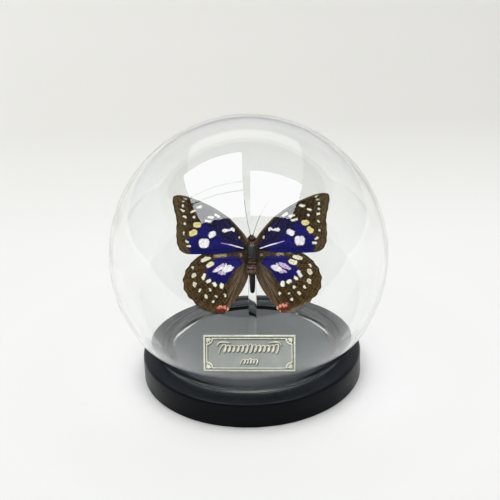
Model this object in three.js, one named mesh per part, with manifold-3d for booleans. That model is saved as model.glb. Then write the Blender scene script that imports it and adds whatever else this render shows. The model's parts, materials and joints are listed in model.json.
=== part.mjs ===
// A dried great purple emperor butterfly in a glass globe, on a black turned wooden base.
//
// Units are millimetres, +Z is up and the front of the object faces -Y. The origin is the centre of
// the base's flat underside. The globe is a truncated sphere, open below, whose rim stands in a
// shallow ring groove of the base. A clear rod rises from a hole in the base, leans slightly to the
// right and is cut on the slant where the insect's thorax is glued to it. A bent metal plate stands
// on the base in front of the rod.

import * as THREE from 'three';
import { mergeVertices } from 'three/addons/utils/BufferGeometryUtils.js';
import Module from 'manifold-3d';

const wasm = await Module();
wasm.setup();

// ---------------------------------------------------------------- driving dimensions

const DEGREE = Math.PI / 180;
const GAP = 0.3; // clearance between neighbouring pieces

const BASE_RADIUS = 60;
const BASE_HEIGHT = 14.6;
const BASE_TOP_EDGE = 1.6; // radius of the turned upper edge
const BASE_BOTTOM_EDGE = 1.0;
const BASE_SEGMENTS = 64;

const GLOBE_RADIUS = 75;
const GLASS_WALL = 2;
const FOOT_RADIUS = 47.7; // outer radius of the glass where it meets the top of the base
const GROOVE_DEPTH = 1;
const GLOBE_SEGMENTS = 48;
const GLOBE_UPPER_STEPS = 11; // facets from the pole down to the equator
const GLOBE_LOWER_STEPS = 6; // and from the equator down to the rim

const ROD_RADIUS = 2.25;
const ROD_LEAN = 1.6 * DEGREE; // towards +X
const ROD_OFFSET = 0.3; // of the rod's foot from the base's axis, along X
const ROD_HOLE_DEPTH = 6;

const SPECIMEN_TILT = 24 * DEGREE; // the wings lean back from the vertical
const SPECIMEN_ROLL = -1.1 * DEGREE;
const SPECIMEN_X = 1.9;
const SPECIMEN_Y = -2.9;
const SPECIMEN_Z = 75.7;
const SEAT_DEPTH = 3.6; // from the wing plane back to the slanted end of the rod

const WING_THICKNESS = 0.5;
const WING_RINGS = 4; // rings of facets between a wing's root and its margin
const WING_RISE = 0.07; // how far the wings rise towards their tips, per millimetre
const FOREWING_LEVEL = 0.9;
const HINDWING_LEVEL = 0; // the hindwings lie just behind the forewings
const FOLD_DROP = 1.3; // the hindwings' inner margins bend back beside the abdomen
const FOLD_WIDTH = 2.5;
const SCALLOPS = 8;
const SCALLOP_DEPTH = 0.4;

const PLATE_WIDTH = 50;
const PLATE_HEIGHT = 20;
const PLATE_THICKNESS = 0.8;
const PLATE_FOOT = 9;
const PLATE_LEAN = 25 * DEGREE;
const PLATE_TURN = -3.9 * DEGREE;
const PLATE_X = -1.7;
const PLATE_Y = -27.6;

// derived heights
const GLOBE_CENTRE = BASE_HEIGHT + Math.sqrt(GLOBE_RADIUS ** 2 - FOOT_RADIUS ** 2);
const RIM_HEIGHT = BASE_HEIGHT - GROOVE_DEPTH + GAP;

// ---------------------------------------------------------------- materials

function material(color, roughness, metalness = 0) {
  return new THREE.MeshStandardMaterial({ color, roughness, metalness });
}

const blackWood = material(0x1a1d20, 0.4);
const glass = material(0xf2f6f5, 0.05);
glass.transparent = true;
glass.opacity = 0.2;
const acrylic = material(0xe8ecec, 0.1);
const wingScales = material(0x2c2588, 0.7);
const hindwingScales = material(0x43372a, 0.75);
const chitin = material(0x33241d, 0.6);
const plateMetal = material(0xa9a99c, 0.4, 0.8);

// ---------------------------------------------------------------- mesh helpers

// Volume enclosed by a closed mesh, positive when its faces point outwards.
function signedVolume(geometry) {
  const solid = geometry.index ? geometry.toNonIndexed() : geometry;
  const points = solid.getAttribute('position');
  const corner = [new THREE.Vector3(), new THREE.Vector3(), new THREE.Vector3()];
  let volume = 0;
  for (let first = 0; first < points.count; first += 3) {
    corner.forEach((vector, k) => vector.fromBufferAttribute(points, first + k));
    volume += corner[0].dot(corner[1].cross(corner[2])) / 6;
  }
  return volume;
}

// The same closed mesh with its shared vertices merged and its faces pointing outwards.
function closedBody(geometry) {
  geometry.deleteAttribute('normal');
  geometry.deleteAttribute('uv');
  const merged = mergeVertices(geometry, 1e-4);
  if (signedVolume(merged) < 0) {
    const index = merged.index.array;
    for (let first = 0; first < index.length; first += 3) {
      [index[first], index[first + 1]] = [index[first + 1], index[first]];
    }
  }
  return merged;
}

function toManifold(geometry) {
  const body = closedBody(geometry);
  return new wasm.Manifold(new wasm.Mesh({
    numProp: 3,
    vertProperties: new Float32Array(body.getAttribute('position').array),
    triVerts: new Uint32Array(body.index.array),
  }));
}

function fromManifold(solid) {
  const mesh = solid.getMesh();
  const geometry = new THREE.BufferGeometry();
  geometry.setAttribute('position', new THREE.BufferAttribute(mesh.vertProperties, 3));
  geometry.setIndex(new THREE.BufferAttribute(mesh.triVerts, 1));
  return geometry;
}

// A solid turned about the Z axis from [radius, height] points.
function turned(profile, segments) {
  const points = profile.map(([radius, height]) => new THREE.Vector2(radius, height));
  return closedBody(new THREE.LatheGeometry(points, segments).rotateX(Math.PI / 2));
}

// A round tube along a smooth curve through the given points.
function tube(points, radius, sides, steps) {
  const section = new THREE.Shape();
  for (let side = 0; side < sides; side++) {
    const angle = (2 * Math.PI * side) / sides;
    const place = [radius * Math.cos(angle), radius * Math.sin(angle)];
    side === 0 ? section.moveTo(...place) : section.lineTo(...place);
  }
  const extrudePath = new THREE.CatmullRomCurve3(points.map((p) => new THREE.Vector3(...p)));
  return new THREE.ExtrudeGeometry(section, { steps, bevelEnabled: false, extrudePath });
}

function piece(name, geometry, finish) {
  geometry.computeVertexNormals();
  const mesh = new THREE.Mesh(geometry, finish);
  mesh.name = name;
  return mesh;
}

// ---------------------------------------------------------------- base

// Points of a quarter round of the given radius, from one angle to another about a centre.
function roundedEdge(centreRadius, centreHeight, radius, fromAngle, toAngle, steps = 3) {
  return Array.from({ length: steps + 1 }, (_, k) => {
    const angle = fromAngle + ((toAngle - fromAngle) * k) / steps;
    return [centreRadius + radius * Math.cos(angle), centreHeight + radius * Math.sin(angle)];
  });
}

// Radius at a given height of a sphere about the globe's centre.
function radiusAt(height, sphereRadius) {
  return Math.sqrt(sphereRadius ** 2 - (GLOBE_CENTRE - height) ** 2);
}

function makeBase() {
  const grooveFloor = BASE_HEIGHT - GROOVE_DEPTH;
  const grooveOuter = FOOT_RADIUS + GAP;
  const grooveInner = radiusAt(RIM_HEIGHT, GLOBE_RADIUS - GLASS_WALL) - GAP;
  const disc = turned([
    [0, 0],
    ...roundedEdge(BASE_RADIUS - BASE_BOTTOM_EDGE, BASE_BOTTOM_EDGE, BASE_BOTTOM_EDGE, -Math.PI / 2, 0, 2),
    ...roundedEdge(BASE_RADIUS - BASE_TOP_EDGE, BASE_HEIGHT - BASE_TOP_EDGE, BASE_TOP_EDGE, 0, Math.PI / 2),
    [grooveOuter, BASE_HEIGHT],
    [grooveOuter, grooveFloor],
    [grooveInner, grooveFloor],
    [grooveInner, BASE_HEIGHT],
    [0, BASE_HEIGHT],
  ], BASE_SEGMENTS);
  const drillLength = 2 * ROD_HOLE_DEPTH;
  const drill = new THREE.CylinderGeometry(ROD_RADIUS + GAP, ROD_RADIUS + GAP, drillLength, 20);
  drill.rotateX(Math.PI / 2).rotateY(ROD_LEAN).translate(ROD_OFFSET, 0, BASE_HEIGHT);
  return piece('base', fromManifold(toManifold(disc).subtract(toManifold(drill))), blackWood);
}

// ---------------------------------------------------------------- globe

// Points of a sphere's profile from its foot past the equator to the pole.
function sphereProfile(sphereRadius, footHeight) {
  const footAngle = Math.asin((footHeight - GLOBE_CENTRE) / sphereRadius);
  const angles = [];
  for (let k = 0; k < GLOBE_LOWER_STEPS; k++) angles.push(footAngle * (1 - k / GLOBE_LOWER_STEPS));
  for (let k = 0; k <= GLOBE_UPPER_STEPS; k++) angles.push((Math.PI / 2) * (k / GLOBE_UPPER_STEPS));
  return angles.map((angle) => (
    [sphereRadius * Math.cos(angle), GLOBE_CENTRE + sphereRadius * Math.sin(angle)]));
}

function makeGlobe() {
  const rimRound = 0.7;
  const inner = GLOBE_RADIUS - GLASS_WALL;
  const outerRim = radiusAt(RIM_HEIGHT, GLOBE_RADIUS);
  const innerRim = radiusAt(RIM_HEIGHT, inner);
  return piece('globe', turned([
    ...sphereProfile(inner, RIM_HEIGHT + rimRound).reverse(),
    [innerRim + rimRound, RIM_HEIGHT],
    [outerRim - rimRound, RIM_HEIGHT],
    ...sphereProfile(GLOBE_RADIUS, RIM_HEIGHT + rimRound),
  ], GLOBE_SEGMENTS), glass);
}

// ---------------------------------------------------------------- specimen: frame of its own
// x runs to the right wing tip, y along the body to the head and z out of the wings' upper side.

const specimen = new THREE.Group();
specimen.position.set(SPECIMEN_X, SPECIMEN_Y, SPECIMEN_Z);
specimen.rotation.set(Math.PI / 2 - SPECIMEN_TILT, 0, SPECIMEN_ROLL);
specimen.updateMatrixWorld(true);

// ---------------------------------------------------------------- rod

// The rod's upper end lies in the seat plane, parallel to the wings behind the thorax.
function makeRod() {
  const rod = piece('rod', new THREE.CylinderGeometry(ROD_RADIUS, ROD_RADIUS, 1, 20, 1), acrylic);
  rod.geometry.rotateX(Math.PI / 2);
  rod.rotation.y = ROD_LEAN;
  rod.position.set(ROD_OFFSET, 0, BASE_HEIGHT - ROD_HOLE_DEPTH + GAP);
  rod.updateMatrixWorld(true);
  const seat = new THREE.Plane(new THREE.Vector3(0, 0, 1), SEAT_DEPTH);
  seat.applyMatrix4(specimen.matrixWorld).applyMatrix4(rod.matrixWorld.clone().invert());
  const points = rod.geometry.getAttribute('position');
  for (let k = 0; k < points.count; k++) {
    const x = points.getX(k);
    const y = points.getY(k);
    const seatHeight = -(seat.normal.x * x + seat.normal.y * y + seat.constant) / seat.normal.z;
    points.setZ(k, points.getZ(k) > 0 ? seatHeight : 0);
  }
  rod.geometry = closedBody(rod.geometry);
  return rod;
}

// ---------------------------------------------------------------- body

// A solid lofted along y through elliptic stations [y, half width, half depth].
function lofted(tail, stations, nose, sides) {
  const points = [[0, tail, 0]];
  for (const [y, halfWidth, halfDepth] of stations) {
    for (let side = 0; side < sides; side++) {
      const angle = (2 * Math.PI * side) / sides;
      points.push([halfWidth * Math.cos(angle), y, halfDepth * Math.sin(angle)]);
    }
  }
  points.push([0, nose, 0]);
  const faces = [];
  const last = points.length - 1;
  const ring = (station, side) => 1 + station * sides + (side % sides);
  for (let side = 0; side < sides; side++) {
    faces.push(0, ring(0, side), ring(0, side + 1));
    faces.push(last, ring(stations.length - 1, side + 1), ring(stations.length - 1, side));
    for (let station = 0; station + 1 < stations.length; station++) {
      const corners = [ring(station, side), ring(station + 1, side)];
      const opposite = [ring(station + 1, side + 1), ring(station, side + 1)];
      faces.push(corners[0], corners[1], opposite[0], corners[0], opposite[0], opposite[1]);
    }
  }
  const geometry = new THREE.BufferGeometry();
  geometry.setAttribute('position', new THREE.Float32BufferAttribute(points.flat(), 3));
  geometry.setIndex(faces);
  return geometry;
}

const ABDOMEN_AND_THORAX = [
  [-22.5, 0.7, 0.7],
  [-20.5, 1.25, 1.3],
  [-17, 1.6, 1.7],
  [-13, 1.75, 1.9],
  [-11.6, 2.05, 2.1],
  [-10.2, 2.3, 2.3],
  [-7.6, 2.35, 2.4],
  [-5.2, 2.1, 2.2],
  [-3.6, 2.55, 2.8],
  [-1, 2.8, 3.2],
  [1.4, 2.7, 3.1],
  [3.2, 2.1, 2.5],
  [4.3, 1.5, 1.6],
  [5, 1.9, 1.6],
  [6.4, 2, 1.8],
  [7.8, 1.5, 1.4],
];
const EYE_RADIUS = 1.1;
const EYE_PLACE = [1.45, 6.6, 0.7];
const LEG_RADIUS = 0.35;
// Middle and hind leg of the right side, from the thorax out and back along the abdomen.
const LEGS = [
  [[1.3, 2.2, -1.6], [3.5, 3.2, -3.6], [4.2, -0.5, -4.7], [3.7, -5, -4.9], [3.4, -8.5, -4.7]],
  [[1.5, -1, -1.8], [4, -0.2, -3.8], [5.7, -2.6, -4.8], [5.4, -8, -5.1], [4.6, -12.5, -4.8]],
];

function makeBody() {
  let solid = toManifold(lofted(-23, ABDOMEN_AND_THORAX, 8.7, 14));
  for (const side of [-1, 1]) {
    const mirrored = ([x, y, z]) => [side * x, y, z];
    const eye = new THREE.SphereGeometry(EYE_RADIUS, 10, 8).translate(...mirrored(EYE_PLACE));
    solid = solid.add(toManifold(eye));
    for (const leg of LEGS) {
      solid = solid.add(toManifold(tube(leg.map(mirrored), LEG_RADIUS, 6, 9)));
    }
  }
  return piece('body', fromManifold(solid), chitin);
}

// ---------------------------------------------------------------- wings

// Outlines of the right wings, from the front of the root round the tip to the back of the root.
const FOREWING_ROOT = [3.2, 2.6];
const FOREWING_OUTLINE = [
  [3.2, 4.9], [4.9, 8.6], [7.5, 12.5], [10.6, 16.2], [14.2, 19.3], [18.6, 22.4], [23.4, 25.3],
  [28.2, 27.4], [33.2, 29.3], [37, 30.2], [40.2, 30.1], [41.8, 28.6], [41.5, 24.9], [40.7, 20.9],
  [39.9, 16.8], [40.1, 12.2], [40.2, 8.5], [39.9, 4.8], [38.7, 1.4], [36.2, -0.7], [32.7, -1.4],
  [24.7, -1.5], [17.3, -1.2], [9.9, -0.4], [3.2, 0.5],
];
const HINDWING_ROOT = [3.2, -4.6];
const HINDWING_OUTLINE = [
  [3.2, -2.6], [7.5, 0.2], [14, 1], [21, 0.4], [27.3, -1.8], [31.4, -4.8], [34.4, -8.2],
  [36.4, -12.2], [37.1, -15.8], [36.7, -19.4], [35.6, -22.4], [33, -25.6], [29.9, -28.5],
  [26.6, -31], [23.1, -32.7], [18.9, -33.6], [15.2, -33.5], [12.9, -31.8], [10.9, -28.4],
  [8.3, -25], [5.9, -21.3], [3.9, -17.6], [2.9, -14], [2.8, -11.5], [3.1, -8],
];
const FIRST_SCALLOP = 0.3; // share of the hindwing's outline where its scalloped margin begins
const LAST_SCALLOP = 0.71;
const PLAIN_STEP = 0.031; // share of the outline that one facet takes up away from the scallops
const FACETS_PER_SCALLOP = 4;

function forewingHeight(x) {
  return FOREWING_LEVEL + WING_RISE * x;
}

function hindwingHeight(x) {
  return HINDWING_LEVEL + WING_RISE * x - FOLD_DROP * Math.exp(-(x - HINDWING_ROOT[0]) / FOLD_WIDTH);
}

// Points at the given shares of the length of a smooth curve through an outline.
function sampled(outline, shares) {
  const curve = new THREE.SplineCurve(outline.map((p) => new THREE.Vector2(...p)));
  return shares.map((share) => curve.getPointAt(share));
}

function evenShares(from, to, count) {
  return Array.from({ length: count + 1 }, (_, k) => from + ((to - from) * k) / count);
}

// The hindwing's outer margin stands out at the veins and is drawn in between them.
function scallopedMargin() {
  const centre = new THREE.Vector2(...HINDWING_ROOT);
  const shares = [
    ...evenShares(0, FIRST_SCALLOP, Math.round(FIRST_SCALLOP / PLAIN_STEP)).slice(0, -1),
    ...evenShares(FIRST_SCALLOP, LAST_SCALLOP, SCALLOPS * FACETS_PER_SCALLOP),
    ...evenShares(LAST_SCALLOP, 1, Math.round((1 - LAST_SCALLOP) / PLAIN_STEP)).slice(1),
  ];
  return sampled(HINDWING_OUTLINE, shares).map((point, k) => {
    const along = (shares[k] - FIRST_SCALLOP) / (LAST_SCALLOP - FIRST_SCALLOP);
    const onMargin = along > 0 && along < 1;
    const wave = onMargin ? SCALLOP_DEPTH * Math.cos(2 * Math.PI * SCALLOPS * along) : 0;
    return point.clone().addScaledVector(point.clone().sub(centre).normalize(), wave);
  });
}

// A thin sheet spread like a fan from the root to the margin, with a front, a back and a rim.
function wing(margin, root, heightAt, side) {
  const points = [];
  const columns = margin.length;
  const addPoint = (x, y) => {
    points.push(side * x, y, heightAt(x), side * x, y, heightAt(x) - WING_THICKNESS);
  };
  addPoint(...root);
  for (const end of margin) {
    for (let ring = 1; ring <= WING_RINGS; ring++) {
      const share = ring / WING_RINGS;
      addPoint(root[0] + (end.x - root[0]) * share, root[1] + (end.y - root[1]) * share);
    }
  }
  const at = (column, ring) => (ring === 0 ? 0 : 2 * (1 + column * WING_RINGS + ring - 1));
  const faces = [];
  const addQuad = (a, b, c, d) => faces.push(a, b, c, a, c, d);
  for (let column = 0; column + 1 < columns; column++) {
    faces.push(0, at(column, 1), at(column + 1, 1));
    faces.push(1, at(column + 1, 1) + 1, at(column, 1) + 1);
    for (let ring = 1; ring < WING_RINGS; ring++) {
      const [a, b] = [at(column, ring), at(column, ring + 1)];
      const [c, d] = [at(column + 1, ring + 1), at(column + 1, ring)];
      addQuad(a, b, c, d);
      addQuad(d + 1, c + 1, b + 1, a + 1);
    }
  }
  const border = [];
  for (let ring = 0; ring <= WING_RINGS; ring++) border.push(at(0, ring));
  for (let column = 1; column < columns; column++) border.push(at(column, WING_RINGS));
  for (let ring = WING_RINGS - 1; ring > 0; ring--) border.push(at(columns - 1, ring));
  border.forEach((front, k) => {
    const next = border[(k + 1) % border.length];
    addQuad(front, front + 1, next + 1, next);
  });
  const geometry = new THREE.BufferGeometry();
  geometry.setAttribute('position', new THREE.Float32BufferAttribute(points, 3));
  geometry.setIndex(faces);
  return closedBody(geometry);
}

function makeWings() {
  const foreMargin = sampled(FOREWING_OUTLINE, evenShares(0, 1, Math.round(1 / PLAIN_STEP)));
  const hindMargin = scallopedMargin();
  const sides = { left: -1, right: 1 };
  return Object.entries(sides).flatMap(([name, side]) => [
    piece(`${name}_forewing`, wing(foreMargin, FOREWING_ROOT, forewingHeight, side), wingScales),
    piece(`${name}_hindwing`, wing(hindMargin, HINDWING_ROOT, hindwingHeight, side), hindwingScales),
  ]);
}

// ---------------------------------------------------------------- antennae

const ANTENNA_RADIUS = 0.25;
const ANTENNAE = {
  left_antenna: [[-0.9, 9.1, 1], [-2.1, 15.3, 1.8], [-3.6, 27.2, 2.6]],
  right_antenna: [[0.9, 9.1, 1], [4.1, 17.4, 1.8], [9.5, 26.7, 2.6]],
};

function makeAntennae() {
  return Object.entries(ANTENNAE).map(([name, points]) => (
    piece(name, closedBody(tube(points, ANTENNA_RADIUS, 6, 10)), chitin)));
}

// ---------------------------------------------------------------- nameplate

// One bent strip seen from its end: the plate leans back over the foot that it stands on.
function makeNameplate() {
  const [lean, rise] = [Math.sin(PLATE_LEAN), Math.cos(PLATE_LEAN)];
  const bendLength = (PLATE_THICKNESS * (1 + lean)) / rise;
  const outline = [
    [0, 0],
    [PLATE_FOOT, 0],
    [PLATE_FOOT, PLATE_THICKNESS],
    [PLATE_THICKNESS * rise + bendLength * lean, PLATE_THICKNESS],
    [PLATE_HEIGHT * lean + PLATE_THICKNESS * rise, PLATE_HEIGHT * rise - PLATE_THICKNESS * lean],
    [PLATE_HEIGHT * lean, PLATE_HEIGHT * rise],
  ];
  const section = new THREE.Shape(outline.map((p) => new THREE.Vector2(...p)));
  const sheet = new THREE.ExtrudeGeometry(section, { depth: PLATE_WIDTH, bevelEnabled: false });
  sheet.translate(0, 0, -PLATE_WIDTH / 2);
  sheet.applyMatrix4(new THREE.Matrix4().makeBasis(
    new THREE.Vector3(0, 1, 0),
    new THREE.Vector3(0, 0, 1),
    new THREE.Vector3(1, 0, 0),
  ));
  const plate = piece('nameplate', closedBody(sheet), plateMetal);
  plate.rotation.z = PLATE_TURN;
  plate.position.set(PLATE_X, PLATE_Y, BASE_HEIGHT + GAP);
  return plate;
}

// ---------------------------------------------------------------- assembly

const object = new THREE.Group();
specimen.add(makeBody(), ...makeWings(), ...makeAntennae());
object.add(makeBase(), makeGlobe(), makeRod(), specimen, makeNameplate());

export default object;
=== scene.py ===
# %% [markdown]
# # A butterfly in a glass globe
#
# The object is a dried purple emperor butterfly, glued to the slanted end of a clear rod. The rod
# stands in a black turned base, under a globe of clear glass that is open below and stands in a
# ring groove of the base. A small bent metal plate stands in front of the rod.
#
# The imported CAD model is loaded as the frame. It says where every piece sits, and each piece made
# here takes the place of a CAD piece of the same name. Lengths below are in millimetres and are
# turned into Blender's metres with `MM`.

# %% The frame and its box
import json
import math

import bmesh
import bpy
import numpy as np
from mathutils import Euler, Matrix, Vector

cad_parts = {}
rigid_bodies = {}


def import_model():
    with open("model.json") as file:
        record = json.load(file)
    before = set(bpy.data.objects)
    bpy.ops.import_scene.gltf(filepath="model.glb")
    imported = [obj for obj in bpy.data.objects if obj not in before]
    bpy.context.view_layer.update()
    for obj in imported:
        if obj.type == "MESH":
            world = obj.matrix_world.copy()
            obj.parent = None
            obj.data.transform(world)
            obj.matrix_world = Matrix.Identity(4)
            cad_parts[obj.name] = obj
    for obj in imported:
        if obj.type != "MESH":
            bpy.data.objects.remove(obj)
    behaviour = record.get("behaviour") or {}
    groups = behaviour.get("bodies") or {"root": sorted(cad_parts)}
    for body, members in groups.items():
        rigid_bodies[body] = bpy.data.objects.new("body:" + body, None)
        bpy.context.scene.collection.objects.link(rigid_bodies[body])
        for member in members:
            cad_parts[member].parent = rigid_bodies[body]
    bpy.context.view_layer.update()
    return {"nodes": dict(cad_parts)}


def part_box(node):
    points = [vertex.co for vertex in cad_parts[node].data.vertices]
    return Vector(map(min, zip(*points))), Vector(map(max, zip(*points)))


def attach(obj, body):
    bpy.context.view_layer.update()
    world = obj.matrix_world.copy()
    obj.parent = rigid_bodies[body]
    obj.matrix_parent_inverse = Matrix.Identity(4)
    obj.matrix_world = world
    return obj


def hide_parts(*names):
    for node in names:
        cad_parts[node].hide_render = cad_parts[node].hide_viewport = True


MM = 0.001
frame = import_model()
scene = bpy.context.scene
scene.view_settings.view_transform = "Standard"
print("nodes:", sorted(frame["nodes"]))

# %% [markdown]
# ## The camera
#
# A camera is easiest to place from a few facts: how far it looks down, which point it looks at and
# how far away it is. A long lens from a fair distance keeps the globe round. The camera is made
# first, so that every later piece can be judged from where the object is really seen.

# %% Camera
LOOK_DOWN = math.radians(26.74)
CAMERA_ROLL = math.radians(-2.0)
CAMERA_DISTANCE = 860
AIM = Vector((0.9, 0, 74.58))
SENSOR_WIDTH = 36
LENS = 115.08

back = Vector((0, -math.cos(LOOK_DOWN), math.sin(LOOK_DOWN)))
level_right = Vector((1, 0, 0))
level_up = back.cross(level_right)
right = math.cos(CAMERA_ROLL) * level_right + math.sin(CAMERA_ROLL) * level_up
up = back.cross(right)
camera_data = bpy.data.cameras.new("camera")
camera_data.sensor_width = SENSOR_WIDTH
camera_data.lens = LENS
camera = bpy.data.objects.new("camera", camera_data)
camera.matrix_world = Matrix.Translation((AIM + back * CAMERA_DISTANCE) * MM) @ (
    Matrix((right, up, back)).transposed().to_4x4()
)
scene.collection.objects.link(camera)
scene.camera = camera
print("camera at", [round(v) for v in camera.matrix_world.translation / MM])

# %% [markdown]
# ## Small helpers for shaping
#
# A new primitive comes in selected, and so do the CAD pieces after loading. Each of these helpers
# therefore says exactly which faces, edges or points the next operator will work on.

# %% Selecting and naming
def deselect_all():
    """Leaves object mode with nothing selected."""
    if bpy.context.object and bpy.context.object.mode != "OBJECT":
        bpy.ops.object.mode_set(mode="OBJECT")
    bpy.ops.object.select_all(action="DESELECT")


def activate(piece):
    """Makes one piece the selected and active one."""
    deselect_all()
    piece.select_set(True)
    bpy.context.view_layer.objects.active = piece
    return piece


def named(name):
    """Gives the active piece, such as a primitive that was just added, its name."""
    piece = bpy.context.object
    piece.name = name
    piece.data.name = name
    return piece


# %% In edit mode
def edit(kind):
    """Goes into edit mode of the active piece, with nothing selected."""
    bpy.ops.object.mode_set(mode="EDIT")
    bpy.ops.mesh.select_mode(type=kind)
    bpy.ops.mesh.select_all(action="DESELECT")


def pick(kind, test):
    """Selects only what passes a test in the piece being edited, and says how much that is."""
    bpy.ops.mesh.select_mode(type=kind)
    bpy.ops.mesh.select_all(action="DESELECT")
    mesh = bmesh.from_edit_mesh(bpy.context.object.data)
    elements = {"FACE": mesh.faces, "EDGE": mesh.edges, "VERT": mesh.verts}[kind]
    count = 0
    for element in elements:
        if test(element):
            element.select_set(True)
            count += 1
    mesh.select_flush_mode()
    bmesh.update_edit_mesh(bpy.context.object.data)
    return count


def finish_edit():
    """Goes back to object mode."""
    bpy.ops.object.mode_set(mode="OBJECT")


def cut_level(height, **settings):
    """Cuts the whole mesh in edit mode with a level plane at a height in millimetres."""
    bpy.ops.mesh.select_all(action="SELECT")
    bpy.ops.mesh.bisect(plane_co=(0, 0, height * MM), plane_no=(0, 0, 1), **settings)


def at_height(element, height, tolerance=0.01):
    """True where all points of an edge or face lie at one height, in millimetres."""
    return all(abs(v.co.z / MM - height) < tolerance for v in element.verts)


def from_middle(vertex):
    """How far a point is from the object's upright middle line, in millimetres."""
    return math.hypot(vertex.co.x, vertex.co.y) / MM


# %% Whole pieces
def put_in_place(piece):
    """Moves a piece's place from its object into its mesh."""
    activate(piece)
    bpy.ops.object.transform_apply(location=True, rotation=True, scale=True)


def join(first, others):
    """Joins other pieces to the first one."""
    activate(first)
    for piece in others:
        piece.select_set(True)
    bpy.ops.object.join()


def merge_points(piece, distance):
    """Merges points that lie closer together than a distance in millimetres."""
    activate(piece)
    edit("VERT")
    bpy.ops.mesh.select_all(action="SELECT")
    bpy.ops.mesh.remove_doubles(threshold=distance * MM)
    finish_edit()


def turn_over(piece):
    """Makes every face look to its other side."""
    activate(piece)
    edit("FACE")
    bpy.ops.mesh.select_all(action="SELECT")
    bpy.ops.mesh.flip_normals()
    finish_edit()


def face_towards(piece, direction):
    """Makes the faces of an open sheet look to the side that is to be its front."""
    facing = sum((face.normal * face.area for face in piece.data.polygons), Vector())
    if facing.dot(direction) < 0:
        turn_over(piece)


# %% Modifiers, smoothing and counting
def modify(piece, kind, **settings):
    """Adds one modifier and applies it."""
    activate(piece)
    modifier = piece.modifiers.new(kind.title(), kind)
    for name, value in settings.items():
        setattr(modifier, name, value)
    bpy.ops.object.modifier_apply(modifier=modifier.name)


def smooth(piece, angle):
    """Shades a piece smooth, but keeps edges crisp that turn by more than an angle."""
    activate(piece)
    bpy.ops.object.shade_smooth_by_angle(angle=math.radians(angle))


def triangles(piece):
    """How many triangles a piece has."""
    piece.data.calc_loop_triangles()
    return len(piece.data.loop_triangles)


# %% [markdown]
# ## Taking a CAD piece's place
#
# A finished piece is tied to the body that it moves with, and the CAD piece that it stands for is
# hidden. The print shows its size beside the CAD piece's.

# %% Stand-ins
def node_size(name):
    """The size of a CAD piece in millimetres."""
    low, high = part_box(name)
    return (high - low) / MM


def stand_for(piece, node):
    """The finished piece takes a CAD piece's place."""
    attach(piece, "root")
    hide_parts(node)
    print(piece.name, "-", triangles(piece), "triangles")
    print("  its size in mm:", [round(v, 1) for v in piece.dimensions / MM])
    print("  the CAD piece: ", [round(v, 1) for v in node_size(node)])


# %% [markdown]
# ## Small helpers for finishes
#
# Every finish is a Principled shader whose colour, roughness and bump come from a few nodes. The
# patterns are read on Object coordinates, so they sit still on the piece from any side.

# %% Building shader nodes
COLOUR_A, COLOUR_B, MIXED_COLOUR = 6, 7, 2  # a Mix node's sockets for colours, by number


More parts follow.
